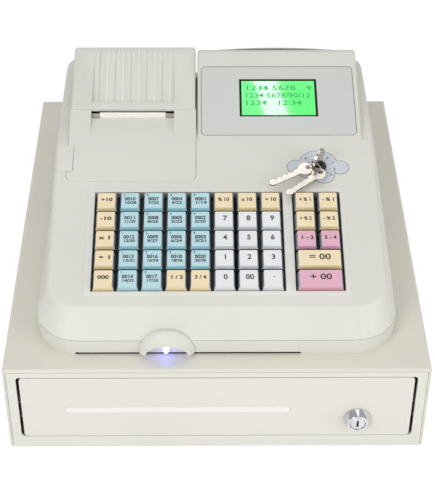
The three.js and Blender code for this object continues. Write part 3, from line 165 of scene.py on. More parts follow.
# smooth shading in which the large faces stay even
def shadeSmooth(piece, angle=35, isEvened=True):
    takeUp(piece)
    bpy.ops.object.shade_smooth_by_angle(angle=math.radians(angle))
    if not isEvened:
        return
    evening = piece.modifiers.new("evening", "WEIGHTED_NORMAL")
    evening.weight = 90
    evening.keep_sharp = True
    bpy.ops.object.modifier_apply(modifier=evening.name)


def outwards(piece):
    editAll(piece)
    bpy.ops.mesh.normals_make_consistent(inside=False)
    doneEditing()


def joinInto(piece, others):
    takeUp(piece)
    for other in others:
        other.select_set(True)
    bpy.ops.object.join()


def copyOf(piece, name):
    other = bpy.data.objects.new(name, piece.data.copy())
    scene.collection.objects.link(other)
    return other


def giveFinish(piece, *finishes):
    piece.data.materials.clear()
    for finish in finishes:
        piece.data.materials.append(finish)


def seat(piece, body, slotName, *stoodFor):
    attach(piece, body)
    if stoodFor:
        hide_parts(*stoodFor)


crisp = {"paper_lid": 20}  # degrees under which a facet edge is shaded smooth, where it isn't the usual


# a smoothed copy of a machined node, its loose triangles merged first
def refinedCopy(nodeName, pieceName, body, finish, slotName, edge, smooth=35):
    piece = copyOf(nodes[nodeName], pieceName)
    giveFinish(piece, finish)
    for face in piece.data.polygons:
        face.material_index = 0
    editAll(piece, "VERT")
    bpy.ops.mesh.remove_doubles(threshold=0.01 * mm)
    bpy.ops.mesh.dissolve_limited(angle_limit=math.radians(0.6))
    doneEditing()
    roundEdges(piece, edge)
    shadeSmooth(piece, smooth, nodeName not in crisp)
    seat(piece, body, slotName, nodeName)


# a colour as a paint chart gives it, 0 to 255
def tone(red, green, blue):
    shares = [c / 255 for c in (red, green, blue)]
    return (*[c / 12.92 if c <= 0.04045 else ((c + 0.055) / 1.055) ** 2.4 for c in shares], 1)


def startFinish(name, roughness, metallic=0.0):
    finish = bpy.data.materials.new(name)
    finish.use_nodes = True
    tree = finish.node_tree
    shader = tree.nodes["Principled BSDF"]
    shader.inputs["Roughness"].default_value = roughness
    shader.inputs["Metallic"].default_value = metallic
    places = tree.nodes.new("ShaderNodeTexCoord").outputs["Object"]
    return finish, tree, shader, places


def grain(tree, places, scale, detail=2.0, stretch=None):
    if stretch:
        mapping = tree.nodes.new("ShaderNodeMapping")
        mapping.inputs["Scale"].default_value = stretch
        tree.links.new(places, mapping.inputs["Vector"])
        places = mapping.outputs["Vector"]
    noise = tree.nodes.new("ShaderNodeTexNoise")
    noise.inputs["Scale"].default_value = scale
    noise.inputs["Detail"].default_value = detail
    tree.links.new(places, noise.inputs["Vector"])
    return noise.outputs["Fac"]


def betweenTones(tree, share, dark, light, socket, start=0.35, end=0.65):
    ramp = tree.nodes.new("ShaderNodeValToRGB")
    ramp.color_ramp.elements[0].position = start
    ramp.color_ramp.elements[0].color = dark
    ramp.color_ramp.elements[1].position = end
    ramp.color_ramp.elements[1].color = light
    tree.links.new(share, ramp.inputs["Fac"])
    tree.links.new(ramp.outputs["Color"], socket)


def between(tree, share, low, high, socket):
    spread = tree.nodes.new("ShaderNodeMapRange")
    spread.inputs["From Min"].default_value = 0.3
    spread.inputs["From Max"].default_value = 0.7
    spread.inputs["To Min"].default_value = low
    spread.inputs["To Max"].default_value = high
    tree.links.new(share, spread.inputs["Value"])
    tree.links.new(spread.outputs["Result"], socket)


def raised(tree, share, shader, strength, distance):
    bump = tree.nodes.new("ShaderNodeBump")
    bump.inputs["Strength"].default_value = strength
    bump.inputs["Distance"].default_value = distance * mm
    tree.links.new(share, bump.inputs["Height"])
    tree.links.new(bump.outputs["Normal"], shader.inputs["Normal"])


def nearly(colour, share):
    return (*[c * share for c in colour[:3]], 1)


# moulded plastic: a fine spark-eroded grain and a slight clouding
def mouldedPlastic(name, colour, roughness=0.48, depth=0.05, size=1400, clouding=0.965, spread=0.05):
    finish, tree, shader, places = startFinish(name, roughness)
    clouds, wear = grain(tree, places, 9, 3), grain(tree, places, 60, 2)
    betweenTones(tree, clouds, nearly(colour, clouding), colour, shader.inputs["Base Color"])
    between(tree, wear, roughness - spread, roughness + spread, shader.inputs["Roughness"])
    raised(tree, grain(tree, places, size, 3), shader, 0.25, depth)
    return finish


# powder coat on sheet steel: orange peel
def powderCoat(name, colour, roughness=0.42):
    finish, tree, shader, places = startFinish(name, roughness)
    betweenTones(tree, grain(tree, places, 6, 4), nearly(colour, 0.97), colour, shader.inputs["Base Color"])
    between(tree, grain(tree, places, 35, 3), roughness - 0.06, roughness + 0.06, shader.inputs["Roughness"])
    raised(tree, grain(tree, places, 420, 1), shader, 0.22, 0.12)
    shader.inputs["Coat Weight"].default_value = 0.15
    shader.inputs["Coat Roughness"].default_value = 0.3
    return finish


def plainMetal(name, colour, roughness, stretch=(1, 1, 14), size=160, depth=0.01):
    finish, tree, shader, places = startFinish(name, roughness, 1.0)
    marks = grain(tree, places, size, 4, stretch)
    betweenTones(tree, grain(tree, places, 50, 3), nearly(colour, 0.9), colour, shader.inputs["Base Color"])
    between(tree, marks, roughness * 0.7, roughness * 1.4, shader.inputs["Roughness"])
    raised(tree, marks, shader, 0.2, depth)
    return finish


def softRubber(name, colour):
    finish, tree, shader, places = startFinish(name, 0.85)
    betweenTones(tree, grain(tree, places, 300, 4), nearly(colour, 0.7), colour, shader.inputs["Base Color"])
    raised(tree, grain(tree, places, 900, 3), shader, 0.5, 0.1)
    return finish


def receiptPaper(name, colour):
    finish, tree, shader, places = startFinish(name, 0.8)
    fibres = grain(tree, places, 500, 5, (1, 4, 1))
    betweenTones(tree, fibres, nearly(colour, 0.95), colour, shader.inputs["Base Color"])
    raised(tree, fibres, shader, 0.3, 0.04)
    return finish


# how far a place is between two heights above the panel, 0 to 1
def heightShare(tree, places, low, high):
    level = tree.nodes.new("ShaderNodeMapping")
    level.vector_type = "TEXTURE"
    level.inputs["Location"].default_value = (0, slope["y"] * mm, slope["rise"] * mm)
    level.inputs["Rotation"].default_value = (math.radians(slope["degrees"]), 0, 0)
    tree.links.new(places, level.inputs["Vector"])
    heights = tree.nodes.new("ShaderNodeSeparateXYZ")
    tree.links.new(level.outputs["Vector"], heights.inputs[0])
    share = tree.nodes.new("ShaderNodeMapRange")
    share.inputs["From Min"].default_value = low * mm
    share.inputs["From Max"].default_value = high * mm
    tree.links.new(heights.outputs["Z"], share.inputs["Value"])
    return share.outputs["Result"]


# the clear wall of a cap, darker towards its foot: a painted shade where the neighbouring caps and the bed shade it
def clearWall(name, dark, light, low, high):
    finish, tree, shader, places = startFinish(name, 0.16)
    share = heightShare(tree, places, low, high)
    betweenTones(tree, share, dark, light, shader.inputs["Base Color"], 0.0, 1.0)
    raised(tree, grain(tree, places, 120, 2), shader, 0.08, 0.1)
    shader.inputs["Coat Weight"].default_value = 0.6
    shader.inputs["Coat Roughness"].default_value = 0.06
    return finish


# the coloured slip of a cap, seen through the clear top
def keySlip(name, colour):
    finish, tree, shader, places = startFinish(name, 0.28)
    betweenTones(tree, grain(tree, places, 70, 3), nearly(colour, 0.97), colour, shader.inputs["Base Color"])
    raised(tree, grain(tree, places, 800, 2), shader, 0.1, 0.03)
    shader.inputs["Coat Weight"].default_value = 0.35
    shader.inputs["Coat Roughness"].default_value = 0.12
    return finish


def printInk(name, colour):
    finish, tree, shader, places = startFinish(name, 0.55)
    betweenTones(tree, grain(tree, places, 600, 3), nearly(colour, 0.8), colour, shader.inputs["Base Color"])
    return finish


def litScreen(name, dark, light, strength, roughness=0.2):
    finish, tree, shader, places = startFinish(name, roughness)
    shader.inputs["Base Color"].default_value = nearly(dark, 0.25)
    betweenTones(tree, grain(tree, places, 24, 1), dark, light, shader.inputs["Emission Color"], 0.3, 0.7)
    raised(tree, grain(tree, places, 1500, 1), shader, 0.05, 0.02)
    shader.inputs["Emission Strength"].default_value = strength
    return finish


# paint colours; the four ...Front tones are lit copies of the cap colours, a painted light for the cap fronts
chart = {
    "housing": tone(221, 220, 211),
    "case": tone(222, 219, 207),
    "chassis": tone(226, 225, 217),
    "window": tone(203, 206, 202),
    "frontSteel": tone(227, 224, 216),
    "cream": tone(238, 219, 179),
    "creamFront": tone(248, 224, 170),
    "blue": tone(180, 216, 225),
    "blueFront": tone(170, 228, 238),
    "white": tone(228, 229, 230),
    "whiteFront": tone(236, 237, 240),
    "pink": tone(224, 170, 190),
    "pinkFront": tone(233, 168, 194),
}
finishes = {
    "housing": mouldedPlastic("housing_plastic", chart["housing"]),
    "case": powderCoat("ivory_steel", chart["case"]),
    "chassis": powderCoat("chassis_steel", chart["chassis"], 0.5),
    "frontSteel": powderCoat("front_steel", chart["frontSteel"]),
    "barPaintedHighlight": powderCoat("bar_steel_painted_highlight", tone(240, 238, 232)),
    "window": mouldedPlastic("window_plastic", chart["window"], 0.3, 0.004, 700, 0.995, 0.01),
    "tray": mouldedPlastic("tray_plastic", tone(52, 53, 56), 0.55, 0.08, 900, 0.85),
    "dark": mouldedPlastic("dark_plastic", tone(34, 35, 38), 0.45, 0.06, 1000, 0.8),
    "bed": mouldedPlastic("key_bed", tone(16, 18, 21), 0.4, 0.06, 1000, 0.8),
    "shade": mouldedPlastic("painted_shade_plastic", tone(136, 135, 128), 0.6, 0.04, 1000, 0.9),
    "crease": mouldedPlastic("lid_crease", tone(168, 167, 159), 0.6, 0.03, 1000, 0.95),
    "ridge": mouldedPlastic("lid_ridge", tone(240, 240, 235), 0.45, 0.03, 1000, 0.98),
    "tub": mouldedPlastic("tub_plastic", tone(186, 182, 172), 0.5, 0.06, 1000, 0.9),
    "black": mouldedPlastic("black_plug", tone(20, 20, 21), 0.3, 0.02, 900, 0.75),
    "chrome": plainMetal("lock_chrome", tone(222, 223, 226), 0.07, (1, 1, 14), 160, 0.004),
    "nickel": plainMetal("key_nickel", tone(206, 198, 188), 0.2, (3, 3, 20), 140, 0.01),
    "steel": plainMetal("bare_steel", tone(176, 178, 180), 0.32, (1, 10, 1)),
    "rubber": softRubber("foot_rubber", tone(44, 44, 45)),
    "roller": softRubber("roller_rubber", tone(38, 38, 40)),
    "paper": receiptPaper("receipt_paper", tone(246, 244, 238)),
    # cap sides: clear, with painted shade from dark at the foot to light at the top
    "skirt": clearWall("clear_skirt_painted_shade", tone(66, 80, 90), tone(178, 188, 196), -3.0, 3.6),
    "ink": printInk("key_ink", tone(58, 52, 48)),
    "greyInk": printInk("number_ink", tone(70, 73, 80)),
    "label": mouldedPlastic("label_film", tone(206, 209, 217), 0.62, 0.01, 600, 0.98),
    "outline": printInk("label_outline", tone(82, 82, 88)),
    "surround": mouldedPlastic("surround_painted_highlight", tone(226, 225, 218)),
    "seam": mouldedPlastic("window_seam", tone(104, 106, 104), 0.6, 0.02, 700, 0.9),
    "screen": litScreen("screen_green", tone(82, 243, 112), tone(112, 252, 140), 0.95, 0.04),
    "screenEdge": mouldedPlastic("screen_edge", tone(4, 8, 5), 0.8, 0.01, 600, 0.8),
    "screenInk": printInk("screen_ink", tone(66, 196, 104)),
    "rearScreen": mouldedPlastic("rear_screen", tone(22, 34, 30), 0.12, 0.01, 500, 0.85),
    "rearDigits": litScreen("rear_digits", tone(70, 225, 140), tone(120, 245, 175), 1.0),
    "lens": litScreen("lamp_lens", tone(112, 116, 255), tone(134, 136, 255), 7.0),
}
for colourName in ("cream", "blue", "white", "pink"):
    finishes[colourName] = keySlip("cap_" + colourName, chart[colourName])
    # cap fronts: a lit copy of the slip colour at the top, painted shade down to a dark foot; the lowest row darkens
    # only at its very foot
    finishes[colourName + "Front"] = clearWall(
        "cap_front_" + colourName, tone(40, 46, 52), chart[colourName + "Front"], 0.1, 1.5)
    finishes[colourName + "Lowest"] = clearWall(
        "cap_lowest_" + colourName, tone(60, 66, 72), chart[colourName], -4.6, -3.2)
    # a paler tone for the rim round each cap top: a painted highlight
    paintedHighlightTone = (*[c * 0.4 + 0.6 * 0.93 for c in chart[colourName][:3]], 1)
    finishes[colourName + "Edge"] = keySlip("cap_edge_painted_highlight_" + colourName, paintedHighlightTone)
print("finishes mixed")


# case, drawer and housing: node, then piece, body, finish, slot and edge width
cleaned = {
    "case_cover": ("caseCover", "register", "case", "ivory_steel", 0.35),
    "case_chassis": ("caseChassis", "register", "chassis", "chassis_steel", 0.2),
    "lower_housing": ("lowerHousing", "register", "housing", "housing_plastic", 0.3),
    "upper_housing": ("upperHousing", "register", "housing", "housing_plastic", 0.35),
    "light_hood": ("lightHood", "register", "housing", "housing_plastic", 0.5),
    "display_window": ("displayWindow", "register", "window", "window_plastic", 0.25),
    "printer_frame": ("printerTub", "register", "tub", "dark_plastic", 0.25),
    "print_head": ("printHead", "register", "steel", "bare_steel", 0.2),
    "mode_lock_body": ("modeLockSleeve", "register", "steel", "bare_steel", 0.25),
    "drawer_latch": ("drawerLatch", "register", "steel", "bare_steel", 0.4),
    "foot_front_left": ("footFrontLeft", "register", "rubber", "foot_rubber", 0.4),
    "foot_front_right": ("footFrontRight", "register", "rubber", "foot_rubber", 0.4),
    "foot_rear_left": ("footRearLeft", "register", "rubber", "foot_rubber", 0.4),
    "foot_rear_right": ("footRearRight", "register", "rubber", "foot_rubber", 0.4),
    "drawer_box": ("drawerBox", "drawer", "chassis", "chassis_steel", 0.2),
    "drawer_front": ("drawerFront", "drawer", "frontSteel", "ivory_steel", 0.45),
    "cash_tray": ("cashTray", "drawer", "tray", "dark_plastic", 0.5),
    "drawer_lock_body": ("drawerLockBody", "drawer", "chrome", "lock_chrome", 0.35),
    "drawer_lock_plug": ("drawerLockPlug", "drawer_lock", "chrome", "lock_chrome", 0.25),
    "bill_clip_1": ("billClip1", "clip_1", "dark", "dark_plastic", 0.3),
    "bill_clip_2": ("billClip2", "clip_2", "dark", "dark_plastic", 0.3),
    "bill_clip_3": ("billClip3", "clip_3", "dark", "dark_plastic", 0.3),
    "bill_clip_4": ("billClip4", "clip_4", "dark", "dark_plastic", 0.3),
    "printer_cover": ("printerCover", "cover", "housing", "housing_plastic", 0.3),
    "paper_lid": ("paperLid", "lid", "housing", "housing_plastic", 0.3),
    "cover_release": ("coverRelease", "release", "housing", "housing_plastic", 0.3),
    "platen_roller": ("platenRoller", "platen", "roller", "foot_rubber", 0.2),
    "paper_roll": ("paperRoll", "roll", "paper", "receipt_paper", 0.3),
    "customer_display_mast": ("displayMast", "mast", "housing", "housing_plastic", 0.4),
    "customer_display_head": ("displayHead", "customer_head", "housing", "housing_plastic", 0.6),
    "mode_lock_plug": ("modeLockPlug", "mode_key_set", "black", "black_plug", 0.35),
    "mode_key": ("modeKey", "mode_key_set", "nickel", "key_nickel", 0.3),
    "spare_key_left": ("spareKeyLeft", "mode_key_set", "nickel", "key_nickel", 0.25),
    "spare_key_right": ("spareKeyRight", "mode_key_set", "nickel", "key_nickel", 0.25),
}
for nodeName, (pieceName, body, finishName, slotName, edge) in cleaned.items():
    refinedCopy(nodeName, pieceName, body, finishes[finishName], slotName, edge, crisp.get(nodeName, 35))
giveFinish(nodes["tear_bar"], finishes["steel"])

# crown of the bar pressed into the drawer front, in a paler steel tone that is a painted highlight
crown = {
    "left": -120.2, "right": 58.5, "low": 44.8, "high": 50.4, "front": -189.1, "back": -186.4,
    "corner": 2.6, "round": 2.4,
}
pressedBar = addSlab("pressedBar", crown)
pickEdges(pressedBar, lambda a, b: abs(a.y - b.y) > 1)
bpy.ops.mesh.bevel(offset=crown["corner"] * mm, segments=6)
doneEditing()
pickEdges(pressedBar, lambda a, b: max(a.y, b.y) < crown["front"] + 0.1)
bpy.ops.mesh.bevel(offset=crown["round"] * mm, segments=6)
doneEditing()
shadeSmooth(pressedBar, 50, False)
giveFinish(pressedBar, finishes["barPaintedHighlight"])
seat(pressedBar, "drawer", "ivory_steel")

# dark strip on the floor of the notch under the housing, a painted shade
notchShadeSizes = {
    "left": -110.6, "right": 65.6, "front": -167.4, "back": -162.2, "low": 90.02, "high": 90.25, "round": 0.08,
}
notchShade = addSlab("notchShade", notchShadeSizes)
roundEdges(notchShade, notchShadeSizes["round"])
shadeSmooth(notchShade)
giveFinish(notchShade, finishes["bed"])
seat(notchShade, "register", "housing_plastic")

# painted shade along the creases between the lid's ribs and a painted highlight along their ridges, laid on the lid
lidLine = {
    "pitch": 13.7, "count": 5, "from": 50, "to": 108, "steps": 24, "above": 210, "thick": 0.04,
    "kinds": [("lidCreaseShade", -100.7, 0.4, "crease"), ("lidRidgeHighlight", -94.0, 0.55, "ridge")],
}


def layLine(name, x, wide, finish):
    clearSelection()
    bpy.ops.mesh.primitive_grid_add(
        x_subdivisions=1, y_subdivisions=lidLine["steps"], size=1,
        location=(x * mm, (lidLine["from"] + lidLine["to"]) / 2 * mm, lidLine["above"] * mm))
    line = bpy.context.object
    line.name = name
    line.scale = (wide * mm, (lidLine["to"] - lidLine["from"]) * mm, 1)
    settle(line)
    takeUp(line)
    laid = line.modifiers.new("laid", "SHRINKWRAP")
    laid.wrap_method = "PROJECT"
    laid.use_project_z = True
    laid.use_negative_direction = True
    laid.use_positive_direction = False
    laid.target = bpy.data.objects["paperLid"]
    laid.offset = lidLine["thick"] * mm
    bpy.ops.object.modifier_apply(modifier=laid.name)
    thicken(line, lidLine["thick"] * 2, -1)
    giveFinish(line, finish)
    seat(line, "lid", "housing_plastic")


for kind, first, wide, finishName in lidLine["kinds"]:
    for index in range(lidLine["count"]):
        layLine(kind + str(index + 1), first + lidLine["pitch"] * index, wide, finishes[finishName])
print("case, drawer and housing cleaned up")


# keys
pitch = 19.05
capShape = {
    "width": 17.6, "length": 17.0, "topWidth": 14.2, "topLength": 15.0, "low": -4.0, "skirt": 2.2, "proud": 5.0,
    "shift": -0.3, "corner": 0.9, "rim": 0.55, "dish": 0.22,
}


def modelCap(units):
    extra = pitch * (units - 1)
    width, length = capShape["width"] + extra, capShape["length"]
    skirtTop = capShape["low"] + capShape["skirt"]
    cap = addBlock("capPattern", (-width / 2, -length / 2, capShape["low"]), (width / 2, length / 2, skirtTop))
    pickFaces(cap, lambda middle, normal: normal.z > 0.9)
    extrudeTo((0, 0, capShape["proud"] - skirtTop))
    scaleFaces((capShape["topWidth"] + extra) / width, capShape["topLength"] / length, (0, 0, capShape["proud"]))
    bpy.ops.transform.translate(value=(0, capShape["shift"] * mm, 0))
    doneEditing()
    pickEdges(cap, lambda a, b: abs(a.z - b.z) > 1)
    bpy.ops.mesh.bevel(offset=capShape["corner"] * mm, segments=4)
    doneEditing()
    pickFaces(cap, lambda middle, normal: normal.z > 0.9)
    bpy.ops.mesh.inset(thickness=capShape["rim"] * mm)
    bpy.ops.transform.translate(value=(0, 0, -capShape["dish"] * mm))
    doneEditing()
    roundEdges(cap, 0.3, 2, 40)
    shadeSmooth(cap, 40)
    return cap


# top and front of a cap show its coloured slip, the rim takes a paler tone as a painted highlight, and the sides are
# clear
def colourCap(cap, colourName, isLowest):
    front = finishes[colourName + ("Lowest" if isLowest else "Front")]
    giveFinish(cap, finishes["skirt"], finishes[colourName], front, finishes[colourName + "Edge"])
    for face in cap.data.polygons:
        height = face.center.z / mm
        if height > capShape["proud"] - capShape["dish"] / 2 or (height > 4 and 0.3 < face.normal.z < 0.85):
            face.material_index = 3
        elif face.normal.z > 0.85 and height > 0:
            face.material_index = 1
        elif face.normal.y < -0.8:
            face.material_index = 2


def addMark(text, size, x, y, z, finish, weight=0.03, align="CENTER", thick=0.03):
    clearSelection()
    bpy.ops.object.text_add(location=(x * mm, y * mm, z * mm))
    mark = bpy.context.object
    mark.name = "mark"
    mark.data.body = text
    mark.data.size = size * mm
    mark.data.extrude = thick * mm
    mark.data.resolution_u = 3
    mark.data.offset = size * weight * mm
    mark.data.align_x = align
    mark.data.align_y = "CENTER"
    bpy.ops.object.convert(target="MESH")
    mark = settle(bpy.context.object)
    giveFinish(mark, finish)
    return mark


def spanMark(text, size, left, right, y, z, finish, weight=0.02):
    mark = addMark(text, size, left, y, z, finish, weight, "LEFT")
    takeUp(mark)
    stretch = (right - left) * mm / mark.dimensions.x
    bpy.ops.transform.resize(value=(stretch, 1, 1), center_override=(left * mm, y * mm, z * mm))
    return settle(mark)


bank = {"left": -89.05, "rear": -63.0, "side": 72.17, "rows": 5}
plainMarks = {  # row by row: the marks of the eight columns
    0: ["+10", "0010", "0007", "0004", "0001", "% 10", "x 10", "÷ 10"],
    1: ["-10", "0011", "0008", "0005", "0002", "7", "8", "9"],
    2: ["x 1", "0012", "0009", "0006", "0003", "4", "5", "6"],
    3: ["÷ 1", "0013", "0016", "0018", "0020", "1", "2", "3"],
    4: ["000", "0014", "0017", "1 / 2", "3 / 4", "0", "00", "·"],
}
smallMarks = {
    0: ["10/28", "7/25", "4/22", "1/19"],
    1: ["11/29", "8/26", "5/23", "2/20"],
    2: ["12/30", "9/27", "6/24", "3/21"],
    3: ["13/31", "16/34", "18/36", "20/38"],
    4: ["14/32", "17/35"],
}
sideMarks = {0: ["+ % 1", "- % 1"], 1: ["+ % 2", "- % 2"], 2: ["1 - 2", "3 - 4"]}
keyPrint = {  # letter height, place or left and right ends, height on the cap
    "number": (6.6, 0.8, 0.6), "corner": (3.0, -4.9, 5.2),
    "upper": (4.6, -4.4, 4.4, 1.2), "lower": (3.6, -4.4, 4.4, -2.6), "middle": (4.8, -4.6, 4.6, 0.6),
    "side": (4.6, -4.8, 4.8, 0.4), "wide": (7.6, -8.5, 8.5, 0.6), "bold": 0.035, "lift": 0.02,
}
capTop = capShape["proud"] - capShape["dish"] + keyPrint["lift"]


def keyColour(row, column):
    if column == 0 or (row == 0 and column > 4) or (row == 4 and column in (3, 4)):
        return "cream"
    return "blue" if column < 5 else "white"


def seatKey(pattern, name, x, v, colourName, marks, body, *stoodFor):
    key = copyOf(pattern, name)
    colourCap(key, colourName, v < bank["rear"] - pitch * (bank["rows"] - 1.5))
    joinInto(key, marks)
    settle(key, panelTurn @ Matrix.Translation((x * mm, v * mm, 0)))
    seat(key, body, "cap_" + colourName, *stoodFor)


singleCap = modelCap(1)
wideCap = modelCap(2)
for row in range(bank["rows"]):
    v = bank["rear"] - pitch * row
    for column in range(8):
        x = bank["left"] + pitch * column
        isNumber = row > 0 and column > 4
        text = plainMarks[row][column]
        small = smallMarks[row][column - 1] if 0 < column <= len(smallMarks[row]) else ""
        if isNumber:
            marks = [addMark(text, *keyPrint["number"], capTop, finishes["greyInk"])]
        elif small:
            marks = [
                spanMark(text, *keyPrint["upper"], capTop, finishes["ink"], keyPrint["bold"]),
                spanMark(small, *keyPrint["lower"], capTop, finishes["ink"], keyPrint["bold"]),
                addMark(str(column), *keyPrint["corner"], capTop, finishes["ink"]),
            ]
        else:
            marks = [spanMark(text, *keyPrint["middle"], capTop, finishes["ink"], keyPrint["bold"])]
        place = f"r{row + 1}_c{column + 1}"
        stoodFor = ("key_" + place,) if isNumber else ()
        body = place if isNumber else "register"
        seatKey(singleCap, "keyTop_" + place, x, v, keyColour(row, column), marks, body, *stoodFor)
for row, texts in sideMarks.items():
    for column, text in enumerate(texts):
        marks = [spanMark(text, *keyPrint["side"], capTop, finishes["ink"], keyPrint["bold"])]
        place = f"r{row + 1}_c{column + 1}"
        seatKey(
            singleCap, "sideKeyTop_" + place, bank["side"] + pitch * column, bank["rear"] - pitch * row,
            "pink" if row == 2 else "cream", marks, "side_" + place, "side_key_" + place)
for row, text, colourName in ((3, "= 00", "cream"), (4, "+ 00", "pink")):
    marks = [spanMark(text, *keyPrint["wide"], capTop, finishes["ink"])]
    seatKey(
        wideCap, f"wideKeyTop_r{row + 1}", bank["side"] + pitch / 2, bank["rear"] - pitch * row,
        colourName, marks, f"wide_r{row + 1}", f"wide_key_r{row + 1}")
for pattern in (singleCap, wideCap):
    bpy.data.objects.remove(pattern)
print("keys seated")

bed = {
    "left": -103.0, "right": 105.3, "front": -152.0, "back": -48.5, "low": -9.2, "high": -7.6,
    "cuts": 6, "rib": 1.2, "pocket": 0.4,
}
keyBed = addSlab("keyBed", bed)
pickFaces(keyBed, lambda middle, normal: normal.z > 0.9)
bpy.ops.mesh.subdivide(number_cuts=bed["cuts"])
bpy.ops.mesh.inset(thickness=bed["rib"] * mm, depth=-bed["pocket"] * mm, use_individual=True)
doneEditing()
giveFinish(keyBed, finishes["bed"])
settle(keyBed, panelTurn)
seat(keyBed, "register", "dark_plastic", "keyboard_plate")


# a sheet with rectangular windows cut out, thickened upwards and with its edges rounded
def windowedSheet(name, outer, windows, low, thick, rounding):
    left, right, front, back = outer
    clearSelection()
    middle = (left + right) / 2, (front + back) / 2, low
    bpy.ops.mesh.primitive_plane_add(size=1, location=[place * mm for place in middle])
    piece = bpy.context.object
    piece.name = name
    piece.scale = ((right - left) * mm, (back - front) * mm, 1)
    settle(piece)
    editAll(piece)
    for window in windows:
        for index, place in enumerate(window):
            normal = (1, 0, 0) if index < 2 else (0, 1, 0)
            bpy.ops.mesh.select_all(action="SELECT")
            bpy.ops.mesh.bisect(plane_co=[place * n * mm for n in normal], plane_no=normal)
    doneEditing()
    pickFaces(piece, lambda middle, normal: any(
        w[0] < middle.x < w[1] and w[2] < middle.y < w[3] for w in windows))
    bpy.ops.mesh.delete(type="FACE")
    bpy.ops.mesh.select_all(action="SELECT")
    bpy.ops.mesh.dissolve_limited(angle_limit=math.radians(1))
    doneEditing()
    thicken(piece, thick, 1)
    outwards(piece)
    roundEdges(piece, rounding, 2, 50)
    shadeSmooth(piece, 40)
    return piece


# flat raised border round both key wells, a little paler than the housing: a painted highlight
surround = {
    "outer": (-104.2, 104.6, -153.0, -48.6), "low": -0.06, "thick": 0.4, "rounding": 0.18,
    "wells": [(-99.1, 54.5, -148.95, -51.2), (62.1, 101.4, -148.95, -51.2)],
}
keySurround = windowedSheet(
    "keySurround", surround["outer"], surround["wells"], surround["low"], surround["thick"], surround["rounding"])
giveFinish(keySurround, finishes["surround"])
settle(keySurround, panelTurn)
seat(keySurround, "register", "housing_plastic")


# operator display
display = {
    "left": 21.2, "right": 87.9, "front": 30.6, "back": 72.8, "low": -7.6, "high": -0.6,
    "border": 1.5, "step": 0.25, "sink": 0.3, "letter": 7.6, "ink": 0.02,
    "lines": [
        ("1234 5678   9", 25.6, 82.0, 62.9), ("1234 5678/90/12", 25.2, 81.0, 54.3), ("1234   12:34", 24.8, 73.0, 45.9),
    ],
}
screen = addSlab("displayScreen", display)
pickFaces(screen, lambda middle, normal: normal.z > 0.9)
bpy.ops.mesh.inset(thickness=display["border"] * mm)
bpy.ops.mesh.inset(thickness=display["step"] * mm)
bpy.ops.transform.translate(value=(0, 0, -display["sink"] * mm))
doneEditing()
giveFinish(screen, finishes["screenEdge"], finishes["screen"])
for face in screen.data.polygons:
    if face.normal.z > 0.9 and face.center.z < (display["high"] - display["sink"] / 2) * mm:
        face.material_index = 1
glassTop = display["high"] - display["sink"] + display["ink"]
screenMarks = [
    spanMark(text, display["letter"], left, right, v, glassTop, finishes["screenInk"])
    for text, left, right, v in display["lines"]]
joinInto(screen, screenMarks)
settle(screen, panelTurn)
seat(screen, "register", "display_glass", "lcd_module")

# customer's side: a dark pane with lit figures, facing the back
rear = {
    "left": 3.8, "right": 105.8, "front": 132.3, "back": 133.1, "low": 164.9, "high": 181.4,
    "border": 1.2, "sink": 0.2, "figures": "0.00", "size": 13.5, "x": 25.6, "ink": 0.03, "shadeStripe": (128.5, 131.7),
}
# a dark stripe across the top of the customer head: painted shade of the gap behind the display hump
head = bpy.data.objects["displayHead"]
for cut in rear["shadeStripe"]:
    editAll(head)
    bpy.ops.mesh.bisect(plane_co=(0, cut * mm, 0), plane_no=(0, 1, 0))
    doneEditing()
head.data.materials.append(finishes["shade"])
for face in head.data.polygons:
    middle = face.center / mm
    if face.normal.z > 0.5 and rear["shadeStripe"][0] < middle.y < rear["shadeStripe"][1] and middle.z > rear["high"]:
        face.material_index = 1
pane = addSlab("rearPane", rear)
pickFaces(pane, lambda middle, normal: normal.y > 0.9)
bpy.ops.mesh.inset(thickness=rear["border"] * mm)
bpy.ops.transform.translate(value=(0, -rear["sink"] * mm, 0))
doneEditing()
giveFinish(pane, finishes["rearScreen"])
figures = addMark(rear["figures"], rear["size"], 0, 0, 0, finishes["rearDigits"])
paneFace = rear["back"] - rear["sink"] + rear["ink"]
figurePlace = Vector((rear["x"], paneFace, (rear["low"] + rear["high"]) / 2)) * mm
facingBack = Matrix.Rotation(math.pi, 4, "Z") @ Matrix.Rotation(math.pi / 2, 4, "X")
settle(figures, Matrix.Translation(figurePlace) @ facingBack)
joinInto(pane, [figures])
seat(pane, "customer_head", "display_glass")

# thin dark seam round the display window
seamShape = {
    "left": -12.28, "right": 120.28, "front": 9.02, "back": 87.48, "low": -0.5, "high": -0.02,
    "corner": 4.28, "wide": 0.5,
}
windowSeam = addSlab("windowSeam", seamShape)
pickEdges(windowSeam, lambda a, b: abs(a.z - b.z) > 0.1)
bpy.ops.mesh.bevel(offset=seamShape["corner"] * mm, segments=6)
doneEditing()
pickFaces(windowSeam, lambda middle, normal: abs(normal.z) > 0.9)
bpy.ops.mesh.inset(thickness=seamShape["wide"] * mm)
bpy.ops.mesh.delete(type="FACE")
doneEditing()
editAll(windowSeam, "EDGE")
bpy.ops.mesh.select_all(action="DESELECT")
bpy.ops.mesh.select_non_manifold()
bpy.ops.mesh.bridge_edge_loops()
doneEditing()
outwards(windowSeam)
giveFinish(windowSeam, finishes["seam"])
settle(windowSeam, panelTurn)
seat(windowSeam, "register", "window_plastic")
print("displays lit")


